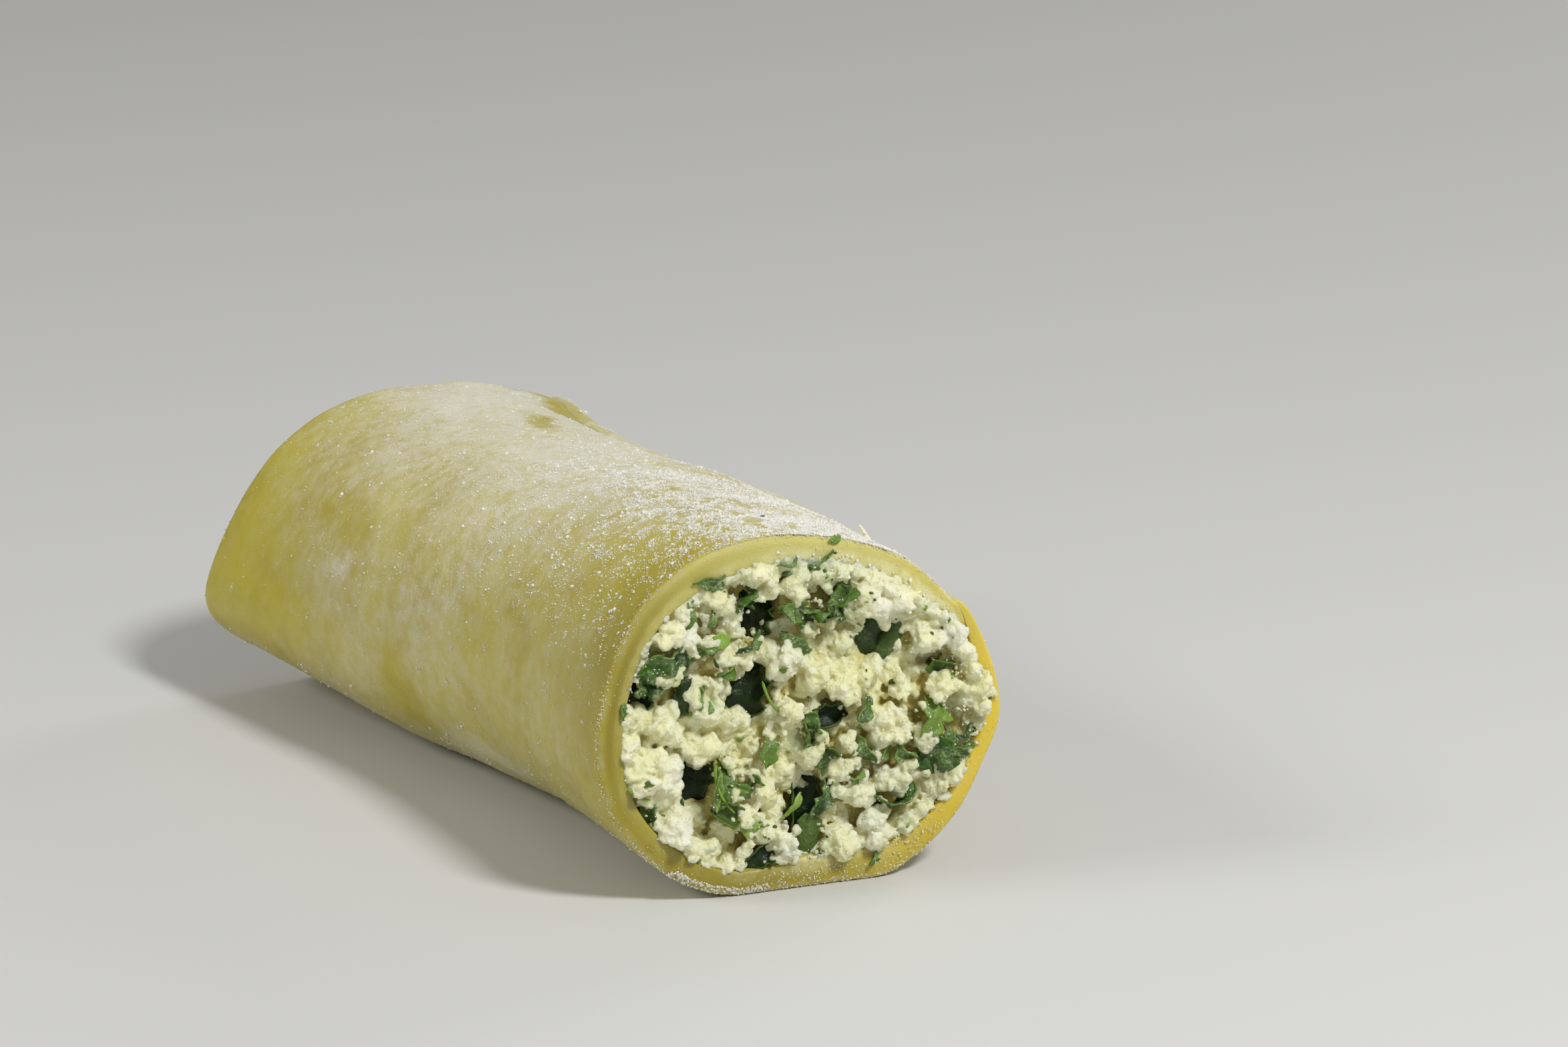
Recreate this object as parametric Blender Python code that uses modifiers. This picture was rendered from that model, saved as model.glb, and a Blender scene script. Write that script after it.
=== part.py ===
"""Filled cannelloni: one sheet of fresh pasta rolled round ricotta and spinach.

The roll lies along X on the plane Z = 0, with its front cut at +X. Lengths are in
metres. A place on it is given by `along`, 0 at the rear end and 1 at the front cut,
and by an angle round its axis, 0 at +Y and rising towards +Z.
"""

import math

import bmesh
import bpy
import numpy as np
from mathutils import Vector, noise

MM = 0.001

# Outline of the roll at four equally spaced stations, from the rear end to the front cut.
LENGTH = 68.7 * MM
WIDTHS = np.array([35.4, 33.3, 33.7, 31.2]) * MM
HEIGHTS = np.array([25.2, 25.8, 26.9, 28.4]) * MM
SIDE_SHIFTS = np.array([2.6, 1.3, 2.8, 0.0]) * MM
LEANS = np.radians([-2.5, -2.8, -9.6, -16.9])
SQUARENESS = 2.3            # exponent of the superellipse; 2 is a plain ellipse
BASE_PRESS = 1.3 * MM       # how far the soft roll is flattened where it rests
BASE_ROUNDING = 0.6 * MM    # softness of the turn from the flat base into the sides
FRONT_SLANT = 0.12          # slope of the front cut across Y
FRONT_SLANT_POWER = 4       # keeps the slant to the last stretch before the cut

# Bulges (+) and dents (-) of the outline:
# along, angle in degrees, height, spread along, spread in degrees.
BULGES = (
    (0.00, 194.0, 2.9 * MM, 0.26, 19.0),    # rear corner pressed out by the filling
    (1.00, 319.0, -0.8 * MM, 0.30, 20.0),   # flatter lower side at the front cut
    (0.03, 44.0, 0.7 * MM, 0.06, 10.0),     # raised rear corner of the outer flap
    (0.57, 62.0, 0.4 * MM, 0.08, 14.0),     # low swelling on the crest
)

# The pasta sheet, and where its two long edges lie round the axis. The outer edge is
# pressed thin to seal the roll.
SHEET = 1.5 * MM
PRESSED_EDGE = 0.35                 # thickness of the outer edge, as a share of the sheet
LAYER_GAP = 0.25 * MM
INNER_EDGE = math.radians(24.0)
OUTER_EDGES = np.radians([44.0, 48.0, 55.0, 50.0])    # at the four stations
FLAP_TAPER = math.radians(20.0)     # turn in which the flap thins towards its edge
FLAP_RAMP = math.radians(24.0)      # turn in which the sheet climbs out from under the flap
SHEET_FACES_ALONG = 16
SHEET_FACES_AROUND = 66

# The filling and the curds on its two ends.
FILLING_GAP = 0.3 * MM
EDGE_RAMP = math.radians(12.0)      # turn in which the filling dips under the inner edge
FILLING_CUTS = 15
CURD_SPACING = 5.5 * MM
CURD_RELIEF = 1.1 * MM
CURD_SET_BACK = 0.4 * MM
RIM_KEPT = 0.35                     # share of the relief that is left at the pasta wall

PASTA_COLOUR = (0.68, 0.53, 0.16, 1.0)
FILLING_COLOUR = (0.70, 0.68, 0.48, 1.0)


def at_stations(values, along):
    """Smooth curve through the values of the four stations (Catmull-Rom)."""
    spans = len(values) - 1
    place = np.clip(along, 0.0, 1.0) * spans
    span = np.minimum(place.astype(int), spans - 1)
    t = place - span
    before_first = 2 * values[0] - values[1]
    after_last = 2 * values[-1] - values[-2]
    padded = np.concatenate([[before_first], values, [after_last]])
    p0, p1, p2, p3 = (padded[span + step] for step in range(4))
    linear = (p2 - p0) * t
    square = (2 * p0 - 5 * p1 + 4 * p2 - p3) * t ** 2
    cube = (3 * p1 - p0 - 3 * p2 + p3) * t ** 3
    return 0.5 * (2 * p1 + linear + square + cube)


def smooth_step(start, end, value):
    """0 before start, 1 after end, and an S-curve between them."""
    t = np.clip((value - start) / (end - start), 0.0, 1.0)
    return t * t * (3 - 2 * t)


def turn_between(angle, other):
    """Signed turn from one angle to the other, in -pi to pi."""
    return (angle - other + math.pi) % (2 * math.pi) - math.pi


def soft_max(value, floor, softness):
    """The larger of the two, with a rounded turn where they cross."""
    share = np.clip(0.5 + 0.5 * (value - floor) / softness, 0.0, 1.0)
    return floor + (value - floor) * share + softness * share * (1 - share)


def roll_points(along, angle, depth, reach=1.0):
    """Points at a depth under the outer surface; reach 0 is on the axis and 1 is there."""
    half_width = at_stations(WIDTHS, along) / 2
    half_height = at_stations(HEIGHTS, along) / 2
    shift = at_stations(SIDE_SHIFTS, along)
    lean = at_stations(LEANS, along)
    level = half_height - BASE_PRESS

    across = np.abs(np.cos(angle) / (half_width - depth))
    upward = np.abs(np.sin(angle) / (half_height - depth))
    radius = (across ** SQUARENESS + upward ** SQUARENESS) ** (-1 / SQUARENESS)
    for place, middle, height, spread_along, spread_degrees in BULGES:
        away = (along - place) / spread_along
        aside = turn_between(angle, math.radians(middle)) / math.radians(spread_degrees)
        radius = radius + height * np.exp(-away ** 2 - aside ** 2)

    y = radius * np.cos(angle + lean)
    z = soft_max(radius * np.sin(angle + lean), depth - level, BASE_ROUNDING)
    slant = FRONT_SLANT * along ** FRONT_SLANT_POWER
    x = LENGTH * (along - 0.5) + slant * reach * y
    return np.stack([x, shift + reach * y, level + reach * z], axis=-1)


def flap_thickness(along, angle):
    """Thickness of the sheet towards its outer edge, where it is pressed thin."""
    flap_edge = at_stations(OUTER_EDGES, along)
    thinning = smooth_step(flap_edge - FLAP_TAPER, flap_edge, angle)
    return SHEET * (1 - (1 - PRESSED_EDGE) * thinning)


def sheet_depth(along, turn):
    """Depth of the sheet's outer face after a turn round the axis from angle 0."""
    flap_edge = at_stations(OUTER_EDGES, along)
    climb = smooth_step(flap_edge, flap_edge + FLAP_RAMP, turn)
    return (flap_thickness(along, turn) + LAYER_GAP) * (1 - climb)


def filling_depth(along, angle):
    """Depth of the filling's skin, which keeps a gap under the innermost layer."""
    angle = angle % (2 * math.pi)
    under_inner_layer = smooth_step(INNER_EDGE - EDGE_RAMP, INNER_EDGE, angle)
    return SHEET + FILLING_GAP + sheet_depth(along, angle) * under_inner_layer


def curd_height(y, z, seed):
    """Rounded lumps of curd with grooves between them, from about -1 to 1."""
    spot = Vector((y / CURD_SPACING, z / CURD_SPACING, seed))
    nearest = noise.voronoi(spot)[0][0]
    return 0.9 - 2.0 * nearest + 0.5 * noise.noise(spot)


def round_the_square(across, upward):
    """Distance from the axis and angle that turn square rings into evenly spaced round ones."""
    reach = np.maximum(np.abs(across), np.abs(upward))
    safe_reach = np.where(reach > 0, reach, 1.0)
    swing_of_side = math.pi / 4 * upward / safe_reach
    swing_of_top = math.pi / 4 * across / safe_reach
    side = np.where(across > 0, swing_of_side, math.pi - swing_of_side)
    top = np.where(upward > 0, math.pi / 2 - swing_of_top, 3 * math.pi / 2 + swing_of_top)
    return reach, np.where(np.abs(across) >= np.abs(upward), side, top)


def principled(name, colour, roughness):
    material = bpy.data.materials.new(name)
    material.use_nodes = True
    shader = material.node_tree.nodes["Principled BSDF"]
    shader.inputs["Base Color"].default_value = colour
    shader.inputs["Roughness"].default_value = roughness
    shader.inputs["Metallic"].default_value = 0.0
    return material


def new_object(name, form, material, collection, parent):
    """Object made from a bmesh, shaded smooth and placed by its parent."""
    mesh = bpy.data.meshes.new(name)
    form.to_mesh(mesh)
    form.free()
    mesh.shade_smooth()
    mesh.materials.append(material)
    piece = bpy.data.objects.new(name, mesh)
    piece.parent = parent
    collection.objects.link(piece)
    return piece


def move_vertices(form, points):
    for vertex, point in zip(form.verts, points):
        vertex.co = point


def make_sheet(collection, parent):
    """Flat sheet that is rolled up from its inner edge to its outer flap."""
    form = bmesh.new()
    bmesh.ops.create_grid(
        form, x_segments=SHEET_FACES_ALONG, y_segments=SHEET_FACES_AROUND, size=1.0)
    flat = np.array([vertex.co for vertex in form.verts])
    along = (1 + flat[:, 0]) / 2
    rolled = (1 - flat[:, 1]) / 2
    outer_edge = 2 * math.pi + at_stations(OUTER_EDGES, along)
    turn = INNER_EDGE + rolled * (outer_edge - INNER_EDGE)
    move_vertices(form, roll_points(along, turn, sheet_depth(along, turn)))

    pasta = principled("fresh_pasta", PASTA_COLOUR, roughness=0.55)
    sheet = new_object("pasta_sheet", form, pasta, collection, parent)
    shares = sheet.vertex_groups.new(name="thickness")
    for index, share in enumerate(flap_thickness(along, turn - 2 * math.pi) / SHEET):
        shares.add([index], share, "REPLACE")
    solid = sheet.modifiers.new("thickness", "SOLIDIFY")
    solid.thickness = SHEET
    solid.offset = -1.0
    solid.use_even_offset = True
    solid.vertex_group = shares.name
    return sheet


def make_filling(collection, parent):
    """Finely cut cube whose square section is rounded to fill the roll."""
    form = bmesh.new()
    bmesh.ops.create_cube(form, size=2.0)
    bmesh.ops.subdivide_edges(form, edges=form.edges[:], cuts=FILLING_CUTS, use_grid_fill=True)
    cube = np.array([vertex.co for vertex in form.verts])
    along = (1 + cube[:, 0]) / 2

    reach, angle = round_the_square(cube[:, 1], cube[:, 2])

    points = roll_points(along, angle, filling_depth(along, angle), reach)
    for point, place, radius in zip(points, cube[:, 0], reach):
        if abs(place) > 1 - 1e-6:
            relief = CURD_RELIEF * curd_height(point[1], point[2], seed=5 * place)
            kept = 1 - (1 - RIM_KEPT) * radius ** 4
            point[0] += place * (relief * kept - CURD_SET_BACK)
    move_vertices(form, points)

    ricotta = principled("ricotta_spinach", FILLING_COLOUR, roughness=0.7)
    return new_object("filling", form, ricotta, collection, parent)


def stand_on_origin(pieces, parent):
    """Moves the parent so that the bottom centre of the whole roll is at the origin."""
    bpy.context.view_layer.update()
    depsgraph = bpy.context.evaluated_depsgraph_get()
    corners = [Vector(corner) for piece in pieces
               for corner in piece.evaluated_get(depsgraph).bound_box]
    lowest = [min(corner[axis] for corner in corners) for axis in range(3)]
    highest = [max(corner[axis] for corner in corners) for axis in range(3)]
    middle_x = (lowest[0] + highest[0]) / 2
    middle_y = (lowest[1] + highest[1]) / 2
    parent.location = (-middle_x, -middle_y, -lowest[2])


def main():
    for item in list(bpy.data.objects):
        bpy.data.objects.remove(item)
    collection = bpy.data.collections.new("cannelloni")
    bpy.context.scene.collection.children.link(collection)
    roll = bpy.data.objects.new("roll", None)
    collection.objects.link(roll)
    pieces = [make_sheet(collection, roll), make_filling(collection, roll)]
    stand_on_origin(pieces, roll)


main()
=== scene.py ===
import math

import bmesh
import bpy
import numpy as np
from mathutils import Euler, Matrix, Vector


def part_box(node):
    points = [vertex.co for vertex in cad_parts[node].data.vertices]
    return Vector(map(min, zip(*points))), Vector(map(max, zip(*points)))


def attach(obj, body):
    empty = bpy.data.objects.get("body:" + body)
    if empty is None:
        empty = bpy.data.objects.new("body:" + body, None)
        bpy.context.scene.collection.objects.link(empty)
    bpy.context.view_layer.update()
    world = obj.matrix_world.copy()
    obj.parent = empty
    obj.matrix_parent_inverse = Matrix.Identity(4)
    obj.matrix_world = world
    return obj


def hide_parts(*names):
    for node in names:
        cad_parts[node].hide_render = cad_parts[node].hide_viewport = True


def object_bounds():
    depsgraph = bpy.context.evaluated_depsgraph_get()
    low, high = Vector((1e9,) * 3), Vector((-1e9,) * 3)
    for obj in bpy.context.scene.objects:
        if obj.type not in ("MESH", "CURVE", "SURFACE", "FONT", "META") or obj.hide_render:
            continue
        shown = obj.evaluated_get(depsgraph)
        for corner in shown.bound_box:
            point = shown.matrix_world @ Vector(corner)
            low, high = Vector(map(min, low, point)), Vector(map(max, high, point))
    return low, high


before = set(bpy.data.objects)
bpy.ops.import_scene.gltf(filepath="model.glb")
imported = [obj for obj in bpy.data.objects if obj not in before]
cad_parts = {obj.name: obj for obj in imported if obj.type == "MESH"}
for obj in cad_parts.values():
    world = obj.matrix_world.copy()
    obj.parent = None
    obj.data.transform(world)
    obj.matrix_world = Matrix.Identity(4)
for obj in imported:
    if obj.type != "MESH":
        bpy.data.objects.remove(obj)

# Looks of a filled cannelloni: a floured sheet of fresh pasta round crumbly ricotta and
# spinach. A place on the roll is given by `along`, 0 at the rear end and 1 at the front
# cut, and by an angle round its axis, 0 at +Y and rising towards +Z. Lengths are in metres.

MM = 0.001
TURN = 2 * math.pi
CAD_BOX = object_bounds()

# ---------------------------------------------------------------- the roll's own shape

# Outline at four equally spaced stations, from the rear end to the front cut.
LENGTH = 68.7 * MM
WIDTHS = np.array([35.4, 33.3, 33.7, 31.2]) * MM
HEIGHTS = np.array([25.2, 25.8, 26.9, 28.4]) * MM
SIDE_SHIFTS = np.array([2.6, 1.3, 2.8, 0.0]) * MM
LEANS = np.radians([-2.5, -2.8, -9.6, -16.9])
SQUARENESS = 2.3
BASE_PRESS = 1.3 * MM
BASE_ROUNDING = 0.6 * MM
FRONT_SLANT = 0.12
FRONT_SLANT_POWER = 4

# along, angle in degrees, height, spread along, spread in degrees
BULGES = (
    (0.00, 194.0, 2.9 * MM, 0.26, 19.0),
    (1.00, 319.0, -0.8 * MM, 0.30, 20.0),
    (0.03, 44.0, 0.7 * MM, 0.06, 10.0),
    (0.57, 62.0, 0.4 * MM, 0.08, 14.0),
)

SHEET = 1.5 * MM
PRESSED_EDGE = 0.35
LAYER_GAP = 0.0
INNER_EDGE = math.radians(38.0)     # where the inner edge shows, squeezed thin by the filling
INNER_TAPER = math.radians(26.0)
INNER_EDGE_SHARE = 0.35
OUTER_EDGES = np.radians([44.0, 48.0, 55.0, 50.0])
FLAP_TAPER = math.radians(20.0)
FLAP_RAMP = math.radians(24.0)


def at_stations(values, along):
    """Smooth curve through the values of the four stations (Catmull-Rom)."""
    spans = len(values) - 1
    place = np.clip(along, 0.0, 1.0) * spans
    span = np.minimum(place.astype(int), spans - 1)
    t = place - span
    padded = np.concatenate([[2 * values[0] - values[1]], values, [2 * values[-1] - values[-2]]])
    p0, p1, p2, p3 = (padded[span + step] for step in range(4))
    square = (2 * p0 - 5 * p1 + 4 * p2 - p3) * t ** 2
    cube = (3 * p1 - p0 - 3 * p2 + p3) * t ** 3
    return 0.5 * (2 * p1 + (p2 - p0) * t + square + cube)


def smooth_step(start, end, value):
    """0 before start, 1 after end, and an S-curve between them."""
    t = np.clip((value - start) / (end - start), 0.0, 1.0)
    return t * t * (3 - 2 * t)


def turn_between(angle, other):
    """Signed turn from one angle to the other, in -pi to pi."""
    return (angle - other + math.pi) % TURN - math.pi


def soft_max(value, floor, softness):
    """The larger of the two, with a rounded turn where they cross."""
    share = np.clip(0.5 + 0.5 * (value - floor) / softness, 0.0, 1.0)
    return floor + (value - floor) * share + softness * share * (1 - share)


def bell(value, middle, spread):
    return np.exp(-((value - middle) / spread) ** 2)


def roll_points(along, angle, depth, reach=1.0, swell=0.0):
    """Points at a depth under the outer surface; reach 0 is on the axis and 1 is there.
    swell lifts the surface outwards."""
    half_width = at_stations(WIDTHS, along) / 2
    half_height = at_stations(HEIGHTS, along) / 2
    lean = at_stations(LEANS, along)
    level = half_height - BASE_PRESS
    across = np.abs(np.cos(angle) / (half_width - depth))
    upward = np.abs(np.sin(angle) / (half_height - depth))
    radius = (across ** SQUARENESS + upward ** SQUARENESS) ** (-1 / SQUARENESS) + swell
    for place, middle, height, spread_along, spread_degrees in BULGES:
        aside = turn_between(angle, math.radians(middle))
        radius = radius + height * bell(along, place, spread_along) * bell(aside, 0, math.radians(spread_degrees))
    y = radius * np.cos(angle + lean)
    z = soft_max(radius * np.sin(angle + lean), depth - level, BASE_ROUNDING)
    x = LENGTH * (along - 0.5) + FRONT_SLANT * along ** FRONT_SLANT_POWER * reach * y
    shift = at_stations(SIDE_SHIFTS, along)
    return np.stack([x, shift + reach * y, level + reach * z], axis=-1) + roll_place


def flap_thickness(along, angle):
    flap_edge = at_stations(OUTER_EDGES, along)
    return SHEET * (1 - (1 - PRESSED_EDGE) * smooth_step(flap_edge - FLAP_TAPER, flap_edge, angle))


def sheet_depth(along, turn):
    """Depth of the sheet's outer face after a turn round the axis from angle 0."""
    flap_edge = at_stations(OUTER_EDGES, along)
    climb = smooth_step(flap_edge, flap_edge + FLAP_RAMP, turn)
    return (flap_thickness(along, turn) + LAYER_GAP) * (1 - climb)


def place_on_frame():
    """Moves the roll to where the frame holds the pasta sheet."""
    low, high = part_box("pasta_sheet")
    along, angle = np.meshgrid(np.linspace(0, 1, 100), np.linspace(0, TURN, 361), indexing="ij")
    y = roll_points(along, angle, 0 * along)[..., 1]
    return np.array([low.x + LENGTH / 2, (low.y + high.y - y.min() - y.max()) / 2, low.z])


roll_place = np.zeros(3)
roll_place = place_on_frame()

# ---------------------------------------------------------------- random fields


def value_noise(points, size, seed=0):
    """Smooth random field from -1 to 1 whose bumps are about `size` across."""
    scaled = np.asarray(points, float) / size + 100.0
    cell = np.floor(scaled)
    t = scaled - cell
    t = t * t * (3 - 2 * t)
    total = np.zeros(scaled.shape[:-1])
    for corner in np.ndindex(2, 2, 2):
        key = (cell + corner) @ np.array([12.9898, 78.233, 37.719]) + 17.31 * seed
        value = np.modf(np.abs(np.sin(key)) * 43758.5453)[0]
        total += value * np.prod(np.where(corner, t, 1 - t), axis=-1)
    return 2 * total - 1


def layered_noise(points, size, seed=0, layers=3):
    """Value noise with finer, weaker layers added."""
    return sum(value_noise(points, size / 2 ** n, seed + n) / 2 ** n for n in range(layers)) / 1.5


def packed_bumps(points, size, seed=0):
    """Rounded bumps packed side by side, about `size` apart: 1 on top, lower in the creases."""
    scaled = np.asarray(points, float) / size + 50.0
    cell = np.floor(scaled)
    nearest = np.full(scaled.shape[:-1], 9.0)
    for step in np.ndindex(3, 3, 3):
        corner = cell + step - 1
        key = corner @ np.array([12.9898, 78.233, 37.719]) + 17.31 * seed
        inside = [np.modf(np.abs(np.sin(key + axis)) * 43758.5453)[0] for axis in (0.0, 1.7, 3.9)]
        away = corner + np.stack(inside, axis=-1) - scaled
        nearest = np.minimum(nearest, np.sum(away * away, axis=-1))
    return 1 - nearest


# ---------------------------------------------------------------- meshes


def mesh_object(name, vertices, faces, material, smooth=True):
    mesh = bpy.data.meshes.new(name)
    mesh.from_pydata(np.asarray(vertices).tolist(), [], np.asarray(faces).tolist())
    if smooth:
        mesh.shade_smooth()
    mesh.materials.append(material)
    piece = bpy.data.objects.new(name, mesh)
    bpy.context.scene.collection.objects.link(piece)
    return piece


def paint(piece, name, values):
    """Stores one number for each vertex, which the material reads by name."""
    attribute = piece.data.attributes.new(name, "FLOAT", "POINT")
    attribute.data.foreach_set("value", np.asarray(values, np.float32))


def apply_modifiers(piece):
    """Keeps the mesh as its modifiers leave it."""
    bpy.context.view_layer.update()
    evaluated = piece.evaluated_get(bpy.context.evaluated_depsgraph_get())
    mesh = bpy.data.meshes.new_from_object(evaluated)
    piece.modifiers.clear()
    piece.data = mesh
    mesh.shade_smooth()


def coordinates(piece):
    points = np.empty(len(piece.data.vertices) * 3, np.float32)
    piece.data.vertices.foreach_get("co", points)
    return points.reshape(-1, 3).astype(float)


def move_to(piece, points):
    piece.data.vertices.foreach_set("co", np.asarray(points, np.float32).ravel())
    piece.data.update()


def normals(piece):
    vectors = np.empty(len(piece.data.vertices) * 3, np.float32)
    piece.data.vertices.foreach_get("normal", vectors)
    return vectors.reshape(-1, 3).astype(float)


def grid_faces(rows, columns, closed_columns=False):
    """Quads between neighbouring rows and columns of a grid of vertices."""
    index = np.arange(rows * columns).reshape(rows, columns)
    if closed_columns:
        index = np.concatenate([index, index[:, :1]], axis=1)
    a, b = index[:-1, :-1], index[1:, :-1]
    c, d = index[1:, 1:], index[:-1, 1:]
    return np.stack([a, b, c, d], axis=-1).reshape(-1, 4)


def blob_template(subdivisions):
    form = bmesh.new()
    bmesh.ops.create_icosphere(form, subdivisions=subdivisions, radius=1.0)
    points = np.array([vertex.co for vertex in form.verts])
    faces = np.array([[vertex.index for vertex in face.verts] for face in form.faces])
    form.free()
    return points, faces


def random_turns(rng, count):
    """Random rotation matrices, from random quaternions."""
    q = rng.normal(size=(count, 4))
    w, x, y, z = (q / np.linalg.norm(q, axis=1, keepdims=True)).T
    return np.array([
        [1 - 2 * (y * y + z * z), 2 * (x * y - z * w), 2 * (x * z + y * w)],
        [2 * (x * y + z * w), 1 - 2 * (x * x + z * z), 2 * (y * z - x * w)],
        [2 * (x * z - y * w), 2 * (y * z + x * w), 1 - 2 * (x * x + y * y)],
    ]).transpose(2, 0, 1)


def scatter(rng, centres, radii, subdivisions, stretch=0.25, lumps=0.0, broken=0):
    """Vertices and faces of one lump at each centre, each with its own shape; broken is
    the number of flat sides that are knocked off it."""
    points, faces = blob_template(subdivisions)
    count = len(centres)
    shapes = np.repeat(points[None], count, axis=0)
    drift = rng.uniform(0, 50, (count, 1, 3))
    shapes = shapes * (1 + lumps * value_noise(shapes + drift, 0.9))[..., None]
    shapes = shapes * rng.uniform(1 - stretch, 1 + stretch, (count, 1, 3))
    for _ in range(broken):
        way = rng.normal(size=(count, 1, 3))
        way /= np.linalg.norm(way, axis=-1, keepdims=True)
        over = np.sum(shapes * way, axis=-1, keepdims=True) - rng.uniform(0.5, 0.9, (count, 1, 1))
        shapes = shapes - way * np.maximum(over, 0)
    shapes = np.einsum("nij,nvj->nvi", random_turns(rng, count), shapes)
    vertices = np.asarray(centres)[:, None] + shapes * np.asarray(radii)[:, None, None]
    offsets = (np.arange(count) * len(points))[:, None, None]
    return vertices.reshape(-1, 3), (faces[None] + offsets).reshape(-1, 3)


def joined(parts):
    """One set of vertices and faces from several."""
    vertices, faces, first = [], [], 0
    for part_vertices, part_faces in parts:
        vertices.append(part_vertices)
        faces.append(part_faces + first)
        first += len(part_vertices)
    return np.concatenate(vertices), np.concatenate(faces)


# ---------------------------------------------------------------- materials


class Nodes:
    """Short calls that add shader nodes to one material."""

    def __init__(self, name):
        self.material = bpy.data.materials.new(name)
        self.material.use_nodes = True
        self.tree = self.material.node_tree
        self.shader = self.tree.nodes["Principled BSDF"]
        self.place = self.add("ShaderNodeTexCoord").outputs["Object"]

    def add(self, kind, **settings):
        node = self.tree.nodes.new(kind)
        for key, value in settings.items():
            setattr(node, key, value)
        return node

    def put(self, socket, value):
        if isinstance(value, bpy.types.NodeSocket):
            self.tree.links.new(value, socket)
        else:
            socket.default_value = value

    def noise(self, size, detail=2.0, roughness=0.5, stretch=None):
        place = self.place
        if stretch:
            mapping = self.add("ShaderNodeMapping")
            mapping.inputs["Scale"].default_value = stretch
            self.put(mapping.inputs["Vector"], place)
            place = mapping.outputs["Vector"]
        node = self.add("ShaderNodeTexNoise")
        self.put(node.inputs["Vector"], place)
        self.put(node.inputs["Scale"], 1 / size)
        self.put(node.inputs["Detail"], detail)
        self.put(node.inputs["Roughness"], roughness)
        return node.outputs["Fac"]

    def cells(self, size, feature="F1"):
        node = self.add("ShaderNodeTexVoronoi", feature=feature)
        self.put(node.inputs["Vector"], self.place)
        self.put(node.inputs["Scale"], 1 / size)
        return node.outputs["Distance"]

    def painted(self, name):
        return self.add("ShaderNodeAttribute", attribute_name=name).outputs["Fac"]

    def maths(self, operation, a, b=0.0, c=0.0):
        node = self.add("ShaderNodeMath", operation=operation)
        for socket, value in zip(node.inputs, (a, b, c)):
            self.put(socket, value)
        return node.outputs[0]

    def ramp(self, value, low, high, to_low=0.0, to_high=1.0):
        node = self.add("ShaderNodeMapRange", interpolation_type="SMOOTHSTEP")
        for key, number in (("Value", value), ("From Min", low), ("From Max", high),
                            ("To Min", to_low), ("To Max", to_high)):
            self.put(node.inputs[key], number)
        return node.outputs["Result"]

    def mix(self, share, first, second):
        node = self.add("ShaderNodeMix", data_type="RGBA")
        self.put(node.inputs[0], share)
        self.put(node.inputs[6], (*first, 1.0) if isinstance(first, tuple) else first)
        self.put(node.inputs[7], (*second, 1.0) if isinstance(second, tuple) else second)
        return node.outputs[2]

    def bump(self, height, distance, strength=1.0, under=None):
        node = self.add("ShaderNodeBump")
        node.inputs["Distance"].default_value = distance
        node.inputs["Strength"].default_value = strength
        self.put(node.inputs["Height"], height)
        if under:
            self.put(node.inputs["Normal"], under)
        return node.outputs["Normal"]

    def finish(self, colour, roughness, normal=None, scatter=None, **fixed):
        self.put(self.shader.inputs["Base Color"], (*colour, 1.0) if isinstance(colour, tuple) else colour)
        self.put(self.shader.inputs["Roughness"], roughness)
        if normal:
            self.put(self.shader.inputs["Normal"], normal)
        if scatter:
            weight, radius = scatter
            self.put(self.shader.inputs["Subsurface Weight"], weight)
            self.shader.inputs["Subsurface Radius"].default_value = [r / MM for r in radius]
            self.shader.inputs["Subsurface Scale"].default_value = MM
        for name, value in fixed.items():
            self.shader.inputs[name.replace("_", " ")].default_value = value
        return self.material


FLOUR_WHITE = (0.71, 0.70, 0.64)


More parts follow.
